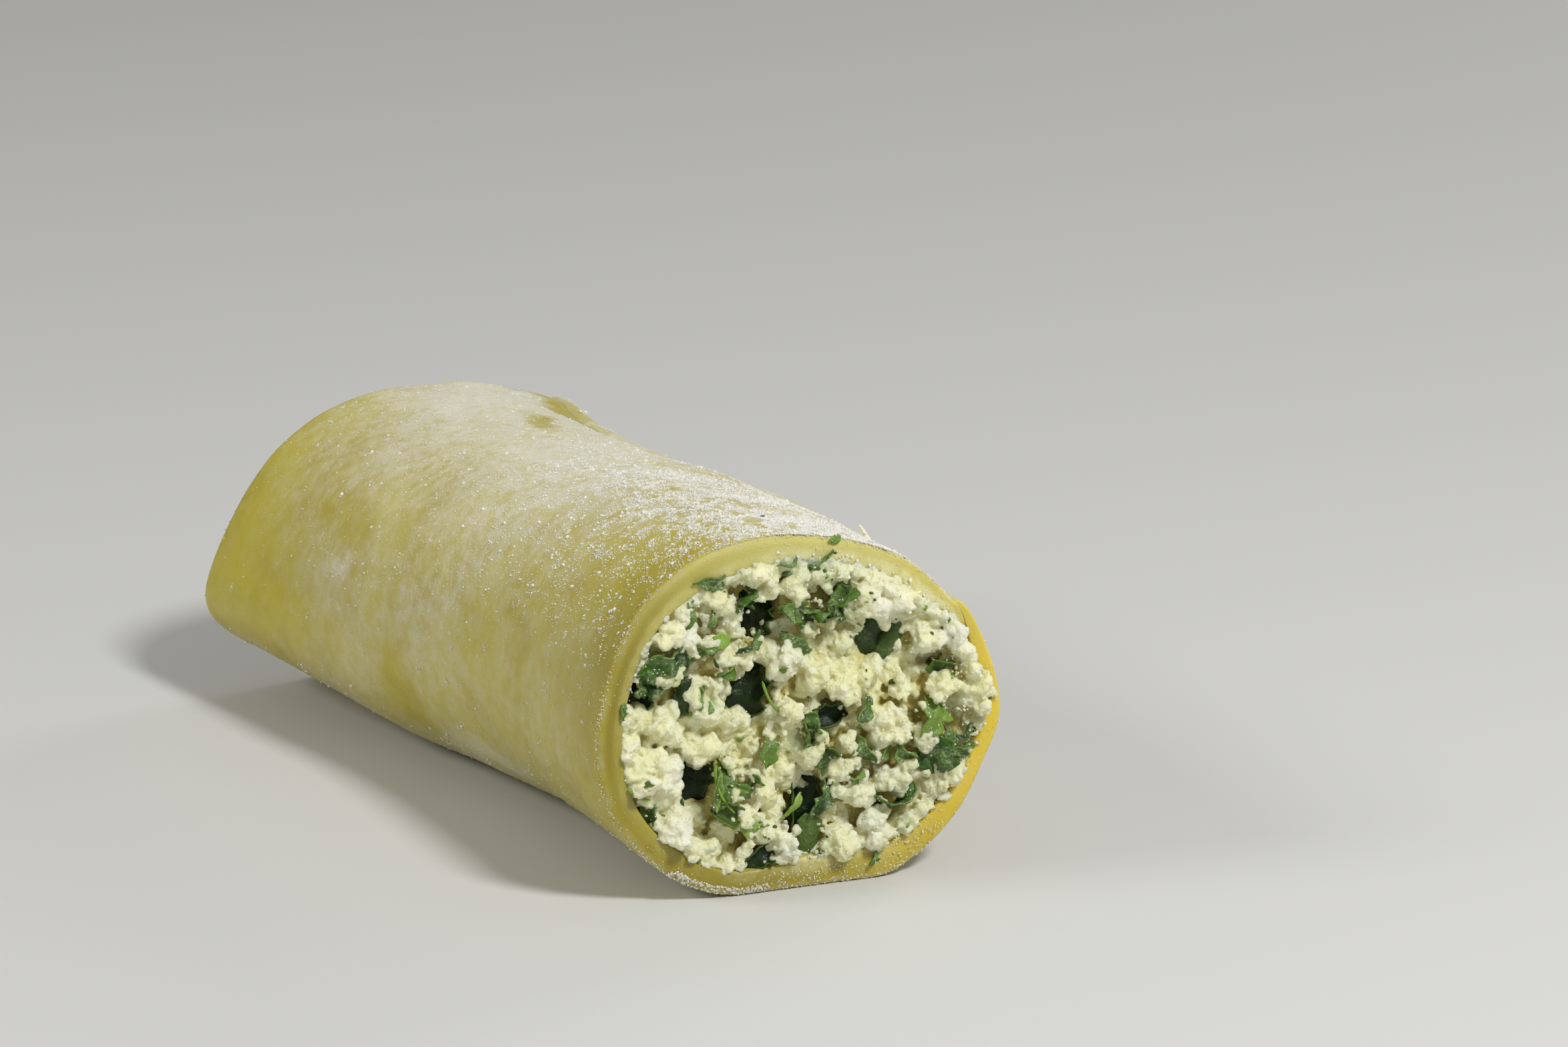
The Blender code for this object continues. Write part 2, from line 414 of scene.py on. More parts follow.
def pasta_material():
    """Translucent egg dough; where it was floured, a grainy white coat lies on it."""
    n = Nodes("fresh_pasta")
    broad = n.noise(7 * MM, 3.0)
    small = n.noise(1.4 * MM, 3.0)
    dough = n.mix(n.ramp(broad, 0.35, 0.65), (0.43, 0.345, 0.016), (0.50, 0.425, 0.034))
    dough = n.mix(n.ramp(small, 0.35, 0.80), dough, (0.50, 0.43, 0.055))

    coat = n.painted("flour")
    grains = n.noise(0.20 * MM, 2.0, 0.6)
    clumps = n.noise(0.60 * MM, 3.0, 0.6)
    level = n.maths("MULTIPLY_ADD", grains, 0.62, n.maths("MULTIPLY", clumps, 0.38))
    bar = n.maths("MULTIPLY_ADD", coat, -0.32, 0.70)
    lying = n.ramp(n.maths("SUBTRACT", level, bar), -0.02, 0.06)
    uneven = n.ramp(n.noise(1.3 * MM, 4.0, 0.6, stretch=(1.1, 0.9, 0.9)), 0.30, 0.70, -0.12, 0.12)
    veil = n.ramp(n.maths("ADD", uneven, coat), 0.0, 1.1, 0.0, 0.74)
    bare = n.maths("SUBTRACT", 1.0, veil)
    drift = n.maths("MULTIPLY", n.maths("MULTIPLY", lying, bare), n.maths("MULTIPLY_ADD", coat, 0.25, 0.22))
    cover = n.maths("ADD", veil, drift)
    colour = n.mix(cover, dough, FLOUR_WHITE)
    # Paler cut faces: partly the cut dough's own tone, partly painted light, strongest at the top of the rim.
    colour = n.mix(n.painted("cut"), colour, (0.60, 0.56, 0.18))
    # Painted light: a warm yellow glow on the right of the cut rim, as if light shone through the dough.
    colour = n.mix(n.painted("painted_glow"), colour, (0.80, 0.60, 0.05))
    colour = n.mix(n.painted("shaded"), colour, (0.27, 0.22, 0.012))
    wiped = n.maths("MULTIPLY", n.painted("smear"), n.ramp(n.noise(0.8 * MM, 4.0, 0.65), 0.32, 0.62, 0.35, 1.0))
    colour = n.mix(wiped, colour, (0.84, 0.82, 0.50))

    dull = n.maths("ADD", cover, n.maths("MULTIPLY", n.painted("cut"), 0.45))
    rough = n.ramp(dull, 0.0, 0.9, 0.34, 0.90)
    ripples = n.bump(n.noise(0.24 * MM, 3.0, 0.65), 0.08 * MM, 0.8)
    normal = n.bump(n.maths("MULTIPLY", cover, grains), 0.06 * MM, 0.7, under=ripples)
    weight = n.maths("MULTIPLY_ADD", cover, -0.42, 0.50)
    return n.finish(colour, rough, normal, (weight, (0.85 * MM, 0.75 * MM, 0.18 * MM)))


def curd_material():
    """Moist ricotta curds, greener beside the leaves, with painted shade, darker and yellower, down in the crevices."""
    n = Nodes("ricotta_curds")
    broad = n.noise(3.2 * MM, 2.0)
    fine = n.noise(0.9 * MM, 3.0)
    curd = n.mix(n.ramp(broad, 0.35, 0.65), (0.91, 0.885, 0.50), (0.94, 0.925, 0.60))
    curd = n.mix(n.ramp(fine, 0.45, 0.75), curd, (0.95, 0.955, 0.70))
    curd = n.mix(n.painted("white"), curd, (0.97, 0.97, 0.80))
    green = n.maths("MULTIPLY", n.painted("green"), n.ramp(fine, 0.2, 0.8, 0.35, 1.0))
    curd = n.mix(green, curd, (0.48, 0.60, 0.30))
    # Painted shade: curd down in the crevices is mixed towards a darker yellow.
    curd = n.mix(n.maths("MULTIPLY", n.painted("crevice_shade"), 0.8), curd, (0.72, 0.60, 0.13))
    grain = n.bump(n.noise(0.20 * MM, 4.0, 0.8), 0.12 * MM, 0.9)
    granules = n.maths("SUBTRACT", 1.0, n.cells(0.26 * MM, "SMOOTH_F1"))
    normal = n.bump(granules, 0.15 * MM, 0.85, under=grain)
    return n.finish(curd, n.ramp(fine, 0.3, 0.7, 0.30, 0.48), normal, (0.50, (1.1 * MM, 0.95 * MM, 0.45 * MM)))


def leaf_material():
    """Dark glossy spinach with paler ribs, coated here and there with a film of curd; leaves in the deep pockets get
    painted shade.
    """
    n = Nodes("spinach_leaf")
    broad = n.noise(1.6 * MM, 2.0)
    leaf = n.mix(n.ramp(broad, 0.35, 0.7), (0.010, 0.036, 0.003), (0.046, 0.122, 0.008))
    leaf = n.mix(n.ramp(n.noise(0.4 * MM, 4.0, 0.65), 0.52, 0.72, 0.0, 0.5), leaf, (0.11, 0.23, 0.020))
    # Painted shade: leaves with a low value, the cups deep in the hollows and less so the hoods, are mixed towards
    # near-black.
    leaf = n.mix(n.ramp(n.painted("filmed_unshaded"), 0.0, 1.0, 0.85, 0.0), leaf, (0.003, 0.010, 0.001))
    leaf = n.mix(n.painted("pale"), leaf, (0.28, 0.44, 0.06))
    patches = n.ramp(n.noise(1.5 * MM, 2.0), 0.42, 0.60)
    dots = n.ramp(n.noise(0.20 * MM, 3.0, 0.7), 0.46, 0.62, 0.10, 0.50)
    film = n.maths("MULTIPLY", n.maths("MULTIPLY", patches, dots), n.painted("filmed_unshaded"))
    leaf = n.mix(film, leaf, (0.50, 0.64, 0.32))
    creases = n.bump(n.noise(0.6 * MM, 3.0, 0.6, stretch=(1.6, 0.6, 1.0)), 0.18 * MM, 0.9)
    normal = n.bump(n.noise(0.18 * MM, 3.0, 0.6), 0.07 * MM, 0.8, under=creases)
    return n.finish(leaf, 0.38, normal, (0.12, (0.3 * MM, 0.6 * MM, 0.1 * MM)), Specular_IOR_Level=0.35)


def plain_grain_material(name, colour, weight=0.2, reach=0.3 * MM):
    """Loose grains, each patch slightly lighter or darker, and how far light goes into them."""
    n = Nodes(name)
    darker = tuple(0.86 * c for c in colour)
    shade = n.mix(n.noise(0.5 * MM, 1.0), darker, colour)
    return n.finish(shade, 0.85, None, (weight, (reach, reach, 0.7 * reach)))


# ---------------------------------------------------------------- the pasta sheet

CUT_LIP = 0.62 * MM          # rounding of the cut ends, lengthways
LIP_POINTS = 11
LIP_SQUARENESS = 2.4         # of the outer side of the lip; the inner side is squarer
INNER_SQUARENESS = 5.0
CUT_GROWTH = 0.26            # how much thicker the squeezed dough is at the front cut
THICK_PLACES = ((305.0, 0.42, 28.0), (130.0, 0.22, 30.0))    # angle, extra share, spread
FINE_STEP = 0.32 * MM        # lengthways, near the front cut
COARSE_STEP = 0.52 * MM
FINE_LENGTH = 14 * MM
AROUND = 300
EDGE_ROWS = 5                # rows that round off the two long edges of the sheet
REAR_TRIM = 0.9 * MM

# Soft forms of the dough: along, angle in degrees, height, spread along, spread in degrees.
SOFT_FORMS = (
    (1.00, 12.0, 0.7 * MM, 0.12, 14.0),
    (0.62, 66.0, -0.35 * MM, 0.07, 14.0),
    (0.00, 214.0, -0.9 * MM, 0.16, 12.0),
    (0.00, 192.0, 0.3 * MM, 0.05, 6.0),
    (0.445, 200.0, -0.22 * MM, 0.022, 16.0),
    (0.17, 181.0, -0.25 * MM, 0.10, 5.0),
    (0.30, 150.0, 0.20 * MM, 0.06, 12.0),
    (0.93, 172.0, 0.15 * MM, 0.05, 8.0),
)

# Places with less (-) or more (+) flour: along, angle in degrees, amount, spread along,
# spread in degrees.
FLOUR_SPOTS = (
    (0.08, 47.0, -0.7, 0.09, 7.0),
    (0.00, 175.0, -0.22, 0.06, 30.0),
    (0.88, 116.0, 0.25, 0.09, 16.0),
    (0.25, 75.0, -0.55, 0.045, 4.5),
    (0.29, 81.0, -0.25, 0.03, 6.0),
    (0.58, 75.0, -0.3, 0.05, 8.0),
    (0.85, 73.0, -0.35, 0.05, 6.0),
    (0.72, 112.0, -0.2, 0.08, 8.0),
    (0.05, 172.0, -0.3, 0.10, 10.0),
    (0.12, 190.0, -0.45, 0.14, 9.0),
    (0.27, 156.0, -0.2, 0.07, 7.0),
    (0.445, 200.0, -0.45, 0.035, 16.0),
    (0.99, 146.0, -0.34, 0.09, 16.0),
    (1.00, 200.0, -0.20, 0.07, 30.0),
    (0.99, 190.0, -0.15, 0.05, 25.0),
    (0.30, 168.0, 0.25, 0.03, 4.0),
    (0.58, 218.0, 0.35, 0.10, 7.0),
    (0.92, 166.0, 0.15, 0.08, 5.0),
)
CREST = 75.0                 # angle of the most floured line, in degrees


def bumps_from(table, along, angle):
    """Sum of the table's round spots at each place."""
    total = np.zeros(np.broadcast(along, angle).shape)
    for place, degrees, height, spread_along, spread_degrees in table:
        aside = np.degrees(turn_between(angle, math.radians(degrees)))
        total = total + height * bell(along, place, spread_along) * bell(aside, 0, spread_degrees)
    return total


def on_cylinder(along, angle):
    """A plain cylinder's point, so that random fields have no seam round the roll."""
    radius = 15 * MM
    return np.stack([LENGTH * along, radius * np.cos(angle), radius * np.sin(angle)], axis=-1)


def dough_swell(along, angle):
    """Soft unevenness of rolled-out dough."""
    spot = on_cylinder(along, angle)
    waves = 0.18 * MM * value_noise(spot, 8 * MM, 1) + 0.07 * MM * value_noise(spot, 3 * MM, 2)
    return waves + bumps_from(SOFT_FORMS, along, angle)


def inner_growth(along, turn):
    """How much thicker the innermost layer is than the plain sheet."""
    outer_layer = smooth_step(TURN - 0.4, TURN, turn)
    growth = CUT_GROWTH * np.ones(np.broadcast(along, turn).shape)
    for degrees, more, spread in THICK_PLACES:
        growth = growth + more * bell(np.degrees(turn_between(turn, math.radians(degrees))), 0, spread)
    return 1 + growth * smooth_step(0.85, 1.0, along) * (1 - outer_layer)


def edge_taper(turn):
    """Share of the thickness that is left towards the inner edge."""
    return INNER_EDGE_SHARE + (1 - INNER_EDGE_SHARE) * smooth_step(INNER_EDGE, INNER_EDGE + INNER_TAPER, turn)


def inner_face_depth(along, angle):
    """Depth of the pasta's inner face, where the filling meets it."""
    covered = smooth_step(INNER_EDGE - 0.05, INNER_EDGE, angle)
    one_layer = flap_thickness(along, angle) * inner_growth(along, angle + TURN)
    two_layers = sheet_depth(along, angle) + SHEET * inner_growth(along, angle) * edge_taper(angle)
    return one_layer + (two_layers - one_layer) * covered


def flour_amount(along, angle):
    """How thickly the outside is floured: 0 is bare and 1 is fully white."""
    spot = on_cylinder(along, angle)
    swing = np.degrees(turn_between(angle, math.radians(CREST)))
    reach_down = np.where(swing > 0, 50 + 26 * bell(along, 0.60, 0.30), 55)
    thick = 1 - smooth_step(-45, 32, np.abs(swing) - reach_down)
    side = 0.36 + 0.12 * value_noise(spot, 9 * MM, 11) + 0.08 * value_noise(spot, 2.6 * MM, 12)
    ragged_along = along + 0.02 * layered_noise(spot, 5 * MM, 17)
    ragged_angle = angle + math.radians(7) * layered_noise(spot, 4 * MM, 18)
    amount = side + 0.44 * thick + bumps_from(FLOUR_SPOTS, ragged_along, ragged_angle)
    return np.clip(amount, 0.0, 1.0)


def along_steps():
    """Places along the roll, closer together near the front cut."""
    clear = LENGTH - 2 * CUT_LIP
    coarse = np.arange(0, clear - FINE_LENGTH, COARSE_STEP)
    fine = np.linspace(clear - FINE_LENGTH, clear, int(FINE_LENGTH / FINE_STEP) + 1)
    return (CUT_LIP + np.concatenate([coarse, fine])) / LENGTH


def lip_profile():
    """Rounded cut edge: distance past the last ring and share of the thickness."""
    swing = np.linspace(0, math.pi, LIP_POINTS + 2)[1:-1]
    share = (1 - np.cos(swing)) / 2
    squareness = np.where(share < 0.5, LIP_SQUARENESS, INNER_SQUARENESS)
    out = (1 - np.abs(np.cos(swing)) ** squareness) ** (1 / squareness)
    return out * CUT_LIP, share


def make_sheet(material):
    """Closed profile that runs out along the outside, round the cut lip and back inside,
    swept round the axis from the inner edge to the outer flap."""
    along = along_steps()
    lip_out, lip_share = lip_profile()
    front_lip, rear_lip = np.full(LIP_POINTS, along[-1]), np.full(LIP_POINTS, along[0])
    ring_along = np.concatenate([along, front_lip, along[::-1], rear_lip])
    ring_share = np.concatenate([0 * along, lip_share, 1 + 0 * along, lip_share[::-1]])
    ring_push = np.concatenate([0 * along, lip_out, 0 * along, -lip_out])

    rolled, place = np.meshgrid(np.linspace(0, 1, AROUND), ring_along, indexing="ij")
    outer_edge = TURN + at_stations(OUTER_EDGES, place)
    turn = INNER_EDGE + rolled * (outer_edge - INNER_EDGE)
    spot = on_cylinder(place, turn)

    # The flap's edge is pressed down on the layer below, and the inner edge up to the
    # layer above it.
    from_start = np.minimum(np.arange(AROUND) / EDGE_ROWS, 1.0)[:, None]
    from_end = from_start[::-1]
    start_rounding = np.sqrt(1 - (1 - from_start) ** 2)
    end_rounding = np.sqrt(1 - (1 - from_end) ** 2)
    share = 1 - (1 - ring_share[None] * start_rounding) * end_rounding
    thickness = flap_thickness(place, turn - TURN) * inner_growth(place, turn) * edge_taper(turn)
    thickness = thickness * (1 + 0.07 * value_noise(spot, 5 * MM, 3) * from_end)
    depth = sheet_depth(place, turn) + share * thickness
    coat = flour_amount(place, turn)
    crust = 0.05 * MM * coat * value_noise(spot, 1.3 * MM, 4)
    points = roll_points(place, turn, depth, swell=dough_swell(place, turn) + crust)
    flap_edge = at_stations(OUTER_EDGES, place)
    under_flap = (turn < flap_edge) & (ring_share[None] < 0.5)
    over_layer = (turn > TURN + INNER_EDGE) & (ring_share[None] >= 0.5)
    touching = under_flap | over_layer
    push = np.where(touching, np.sign(ring_push[None]) * CUT_LIP, ring_push[None])
    points[..., 0] += push * start_rounding * end_rounding
    points[..., 0] += 0.14 * MM * value_noise(spot, 4 * MM, 15) * smooth_step(0.9, 1.0, place)
    trim = bell(np.degrees(turn_between(turn, math.radians(152))), 0, 30) * bell(place, 0, 0.08)
    points[..., 0] += REAR_TRIM * trim
    points[..., 2] = np.maximum(points[..., 2], roll_place[2])

    sheet = mesh_object("rolled_pasta", points.reshape(-1, 3), grid_faces(AROUND, len(ring_along), True), material)
    grainy = value_noise(spot, 0.5 * MM, 19)
    loose = bell(place, 1.0, 0.36) * bell(np.degrees(turn_between(turn, math.radians(125))), 0, 52)
    dust = coat * (1 - 0.5 * loose) * (1 - smooth_step(0.0, 0.30, ring_share[None] + 0.10 * grainy))
    outside = ring_share[None] < 0.5
    on_lip = (ring_push[None] > 0) + 0.7 * (ring_push[None] < 0)
    over_edge = on_lip * bell(ring_share[None], 0.10, 0.16) * (0.30 + 0.20 * grainy)
    floured = np.maximum(np.where(outside, np.maximum(dust, 0.04), 0.04), over_edge)
    paint(sheet, "flour", floured.ravel())
    lit = bell(np.degrees(turn_between(turn, math.radians(100))), 0, 64)
    right = bell(np.degrees(turn_between(turn, math.radians(5))), 0, 46)
    patchy = 0.55 + 0.45 * value_noise(spot, 2 * MM, 16)
    upper_right = bell(np.degrees(turn - INNER_EDGE), 20, 42) * smooth_step(0.25, 0.55, ring_share[None])
    inner_half = smooth_step(0.30, 0.80, ring_share[None]) * (turn < TURN)
    low_right = bell(np.degrees(turn_between(turn, math.radians(298))), 0, 24)
    # Cut faces paler: partly their own tone, partly painted light through lit, strongest at the top and fading down the
    # sides.
    paint(sheet, "cut", (on_lip * smooth_step(-0.05, 0.14, ring_share[None]) * 0.88 * lit).ravel())
    low = bell(np.degrees(turn_between(turn, math.radians(262))), 0, 45)
    left = bell(np.degrees(turn_between(turn, math.radians(190))), 0, 32)
    on_face = on_lip * smooth_step(0.1, 0.4, ring_share[None])
    beside_cut = outside * bell(place, 1.0, 0.13) * bell(np.degrees(turn_between(turn, math.radians(172))), 0, 36)
    paint(sheet, "shaded", (on_face * (0.80 * low + 0.52 * left) + 0.48 * beside_cut).ravel())
    # Painted light: a warm yellow glow over the cut faces on the right side, as if light shone through the dough.
    paint(sheet, "painted_glow", (0.85 * on_lip * right * smooth_step(0.0, 0.1, ring_share[None])).ravel())
    paint(sheet, "smear", np.clip(on_lip * ((0.15 + 0.5 * lit + 0.55 * low_right) * patchy * inner_half + 0.6 * upper_right), 0, 0.9).ravel())
    return sheet


# ---------------------------------------------------------------- the filling

# Named curds of the front: across, up and out from the middle of the cut, and radius, in mm.
FRONT_CURDS = (
    (-10.4, -3.0, -0.9, 2.1), (-9.6, -6.8, -0.5, 1.5), (-7.1, -1.2, -0.9, 1.6), (-4.2, -9.4, -0.1, 0.8),
    (-1.4, -8.8, -0.7, 1.2), (-1.3, -6.6, -0.7, 1.2), (6.2, -8.9, -0.4, 1.3), (3.2, -9.2, -0.4, 1.1),
    (3.4, -5.9, -0.2, 0.9), (5.3, -6.6, 0.0, 0.75), (6.8, -1.0, -0.5, 1.9), (3.8, -2.0, -0.3, 0.9),
    (3.4, 1.9, -0.3, 1.1), (-0.8, 4.6, -0.6, 1.4), (1.1, 3.0, -0.5, 1.4), (0.0, 10.6, -0.5, 1.1),
    (-2.7, 10.8, -0.8, 1.2), (-9.1, 7.7, -0.4, 1.2), (-7.2, 10.0, -0.8, 1.2), (4.9, 8.6, -0.5, 1.5),
    (7.6, 9.2, -0.5, 1.5), (6.4, 8.3, -0.3, 1.1), (10.5, 5.2, -0.1, 1.1), (12.5, 5.6, -0.1, 1.1), (13.4, 3.8, 0.0, 0.9),
    (14.9, 1.6, 0.1, 0.7), (14.2, 2.5, 0.1, 0.8), (15.5, 0.6, 0.0, 0.6), (13.9, 0.6, 0.1, 0.7),
    (0.9, 6.6, -0.3, 0.9), (11.4, 1.6, -0.3, 1.2), (8.3, -5.5, -0.6, 1.4), (3.2, -3.9, -0.5, 1.1),
    (-5.6, 0.4, -0.6, 1.1), (-10.8, 1.0, -0.7, 1.4), (9.1, -8.9, -0.8, 1.4), (-13.2, -0.7, -0.6, 1.1),
    (-4.0, -6.8, -0.7, 1.4), (-1.3, 0.6, -0.8, 1.4), (11.3, -5.0, -0.8, 1.3), (5.5, 2.9, -0.3, 1.0),
    (8.2, 1.8, -0.4, 1.0), (-5.0, 8.8, -0.6, 1.1), (-5.3, 5.2, -0.7, 1.1), (-6.4, 3.3, -0.8, 1.0),
    (14.9, 1.4, 0.50, 0.8), (15.4, 0.6, 0.40, 0.6), (14.9, -0.3, 0.30, 0.5), (15.2, 2.3, 0.35, 0.5),
)

# Firm white curds among them: across, up and radius, in mm.
WHITE_CURDS = (
    (-9.8, -2.7, 1.7), (-9.3, -7.0, 1.5), (5.5, -8.5, 1.7), (-0.8, -9.3, 1.2), (-0.8, 5.0, 1.1),
    (12.2, 5.6, 1.5), (6.4, 8.3, 1.6), (-8.4, 8.0, 1.4), (5.9, -4.3, 1.0),
)

# Hollows of the front: across, up, depth and radius, in mm.
FRONT_HOLLOWS = (
    (-2.2, 8.1, 4.2, 1.2), (-3.4, 2.7, 4.6, 1.3), (-8.0, -4.2, 4.6, 1.3), (0.7, -6.6, 4.2, 1.1),
    (0.9, -9.2, 2.6, 1.1), (6.6, 5.4, 2.6, 1.5), (2.7, 0.1, 3.5, 0.8), (-12.1, 3.0, 4.4, 1.1),
    (-12.6, -5.6, 3.0, 1.0), (11.9, 2.9, 3.5, 0.8), (-8.7, 3.0, 2.5, 0.9), (2.4, 6.4, 2.8, 0.8),
    (-3.1, 9.9, 2.5, 0.9), (-11.8, 6.8, 3.0, 0.6), (7.6, -7.0, 2.2, 0.8), (-6.0, -9.6, 2.5, 0.8),
    (12.6, -7.4, 2.5, 0.9), (10.6, 3.4, 2.5, 0.7),
)

# How each kind of leaf piece lies: tilt and sway in degrees, curl across it, bend along it,
# how crumpled it is, and whether it has a rib.
LEAF_KINDS = {
    "flat": (14, 14, 0.6, 0.4, 1.0, False),
    "cup": (0, 10, 1.5, 0.35, 0.25, False),
    "hood": (0, -10, -1.2, 0.3, 0.15, False),
    "loop": (82, 0, 0.25, 1.35, 0.30, False),
    "shred": (24, 24, 1.3, 0.8, 1.5, False),
    "ribbed": (15, 20, 1.1, 0.6, 0.45, True),
}

# Spinach of the front: kind, across, up, out, length, width, in mm, spin in degrees, and
# how pale it is.
FRONT_LEAVES = (
    ("flat", -6.9, 11.6, 0.1, 2.6, 1.2, 0, 0.1), ("shred", -0.8, 12.0, -0.3, 2.4, 1.5, 10, 0.1),
    ("flat", 2.2, 12.0, -0.2, 3.0, 1.5, 15, 0.1), ("flat", 2.8, 13.8, 0.0, 0.9, 0.6, 30, 0.6),
    ("shred", 2.9, 8.9, -0.3, 3.8, 2.8, 35, 0.1), ("shred", 1.0, 8.0, -0.5, 2.4, 1.8, -30, 0.1),
    ("shred", -0.4, 8.6, 0.0, 2.4, 1.4, -10, 0.2), ("cup", -2.4, 8.3, -2.6, 4.2, 3.4, 70, 0.0),
    ("flat", 0.0, 5.9, -0.2, 2.8, 0.8, -38, 0.1), ("hood", 6.2, 5.6, -0.9, 3.4, 2.2, 88, 0.0),
    ("hood", 7.7, 5.1, -1.0, 3.2, 1.7, 58, 0.15), ("flat", 12.1, 2.6, -0.9, 2.2, 1.4, -20, 0.1),
    ("shred", -3.9, 10.0, -0.5, 2.6, 1.8, 60, 0.0), ("flat", -10.1, 5.7, 0.1, 3.9, 1.6, 16, 0.0),
    ("shred", -7.2, 6.3, -0.1, 2.2, 1.2, -5, 0.1), ("shred", -11.9, 4.3, -0.6, 2.2, 1.8, 70, 0.0),
    ("cup", -12.0, 2.8, -1.9, 3.2, 2.6, 85, 0.0), ("hood", -8.8, 2.9, -0.5, 2.6, 1.5, 65, 0.0),
    ("shred", -7.2, 2.6, -0.2, 1.8, 1.3, 60, 0.3), ("cup", -3.4, 2.7, -2.2, 4.2, 3.6, 85, 0.0),
    ("cup", 2.8, 0.1, -1.2, 3.0, 2.0, 5, 0.0), ("shred", 1.0, -1.0, -0.1, 3.2, 1.4, -58, 0.1),
    ("shred", 2.2, -3.0, -0.2, 3.0, 1.6, -30, 0.1), ("shred", 5.3, -3.0, 0.0, 2.2, 1.3, -40, 0.1),
    ("flat", 7.0, -2.8, 0.2, 1.5, 1.0, 40, 0.3), ("flat", 10.5, -0.6, 0.3, 2.6, 2.1, 55, 0.5),
    ("shred", 13.6, -2.0, 0.3, 2.4, 1.0, 10, 0.0), ("shred", 13.0, -3.3, 0.2, 1.4, 1.2, 30, 0.2),
    ("flat", 10.6, -3.6, 0.0, 3.2, 2.6, -65, 0.0), ("shred", 8.6, -3.4, 0.1, 2.4, 1.1, -40, 0.2),
    ("shred", 12.2, -3.2, -0.1, 2.6, 1.0, 80, 0.1), ("shred", -3.6, 6.6, 0.0, 2.4, 0.9, 30, 0.0),
    ("cup", -8.0, -4.2, -2.4, 4.8, 3.6, 80, 0.0), ("ribbed", -6.2, -4.0, 0.2, 3.4, 1.8, 75, 0.2),
    ("cup", -5.8, -6.2, 0.1, 2.2, 2.0, -20, 0.2), ("ribbed", -4.4, -4.6, 0.2, 2.8, 0.8, -25, 0.1),
    ("cup", 0.9, -6.6, -1.9, 5.0, 2.8, 87, 0.0), ("flat", 2.2, -6.0, -0.4, 2.8, 1.3, 60, 0.0),
    ("hood", 1.3, -9.5, -0.5, 3.8, 2.2, 95, 0.2), ("loop", 7.6, -7.2, 0.0, 3.8, 1.6, 5, 0.0),
    ("flat", -3.4, -7.9, -0.1, 2.2, 1.3, -25, 0.7), ("cup", -3.0, -10.2, -0.5, 2.4, 2.0, 30, 0.0),
    ("shred", -12.0, -5.9, -0.7, 2.2, 1.3, -80, 0.0), ("shred", -3.2, -4.4, -0.2, 1.7, 1.0, -50, 0.1),
    ("flat", -2.5, -1.8, 0.1, 1.8, 1.3, 70, 0.3), ("flat", -13.8, 2.6, 0.2, 1.2, 0.5, 85, 0.1),
    ("shred", -5.5, 4.6, -0.1, 1.8, 0.9, 30, 0.2), ("shred", -8.4, 9.2, 0.0, 2.0, 0.7, 80, 0.2),
    ("shred", -6.9, 8.8, 0.1, 1.3, 0.5, 60, 0.2), ("flat", -6.3, 6.9, 0.0, 1.2, 0.9, -20, 0.9),
    ("flat", 5.2, 0.6, -0.1, 1.8, 1.0, 75, 0.1), ("shred", 8.4, -1.9, 0.0, 1.8, 0.8, 60, 0.1),
    ("flat", 6.4, -11.0, 0.0, 2.0, 0.8, 25, 0.2), ("shred", 4.8, -4.6, -0.1, 1.6, 0.8, 0, 0.5),
    ("flat", -0.6, -6.4, 0.3, 2.4, 0.6, 60, 0.8),
)

# Bare stems of the front: both ends as across, up and out, and radius, in mm.
FRONT_STEMS = (
    (-2.9, 3.6, -0.1, -0.5, 0.2, 0.3, 0.13),
    (-6.9, -2.2, 0.5, -5.4, -6.2, 0.7, 0.15),
    (-13.6, -3.4, 0.2, -11.9, -4.4, 0.5, 0.17),
)


CURD_VOXEL = 0.135 * MM
REAR_VOXEL = 0.20 * MM
FRONT_KEPT = 0.62               # share of the triangles that is kept
REAR_KEPT = 0.7
LEAF_SPREAD = 1.2               # a leaf is wider than what shows of it between the curds
GRID_STEP = 0.1 * MM
GRID_REACH = 18 * MM
PLUG_DEPTH = 5.4 * MM           # how far the crumbly ends reach into the roll
FIRM_LEVEL = -1.8 * MM          # the firm mass behind the loose curds
HIDDEN_DEPTH = 2.6 * MM         # below this the pasta hides the side of the mass
SHEET_CLEARANCE = 0.02 * MM


class CutEnd:
    """One open end of the roll. A place on it is (across, up, out): across is along +Y,
    up along +Z, and out points away from the roll, from the middle of the cut."""

    def __init__(self, along):
        self.along = along
        self.sign = 1 if along > 0.5 else -1
        self.middle = roll_points(np.array(along), np.array(0.0), 0.0, reach=0.0)
        angle = np.linspace(0, TURN, 720, endpoint=False)
        around = np.full(720, float(along))
        depth = inner_face_depth(around, angle)
        wall = roll_points(around, angle, depth, swell=dough_swell(around, angle)) - self.middle
        polar = np.arctan2(wall[:, 2], wall[:, 1]) % TURN
        order = np.argsort(polar)
        self.wall_angle = polar[order]
        self.wall_radius = np.hypot(wall[:, 1], wall[:, 2])[order]

    def world(self, local):
        """World points of places on the end."""
        across, up, out = np.asarray(local, float).T
        slant = FRONT_SLANT if self.sign > 0 else 0.0
        return np.stack([self.middle[0] + slant * across + self.sign * out,
                         self.middle[1] + across, self.middle[2] + up], axis=-1)

    def local(self, world):
        """Places on the end of world points."""
        offset = np.asarray(world, float) - self.middle
        slant = FRONT_SLANT if self.sign > 0 else 0.0
        out = self.sign * (offset[..., 0] - slant * offset[..., 1])
        return np.stack([offset[..., 1], offset[..., 2], out], axis=-1)

    def wall(self, local):
        """Distance from the axis of the pasta's inner face, beside each place."""
        polar = np.arctan2(local[:, 1], local[:, 0]) % TURN
        return np.interp(polar, self.wall_angle, self.wall_radius, period=TURN)


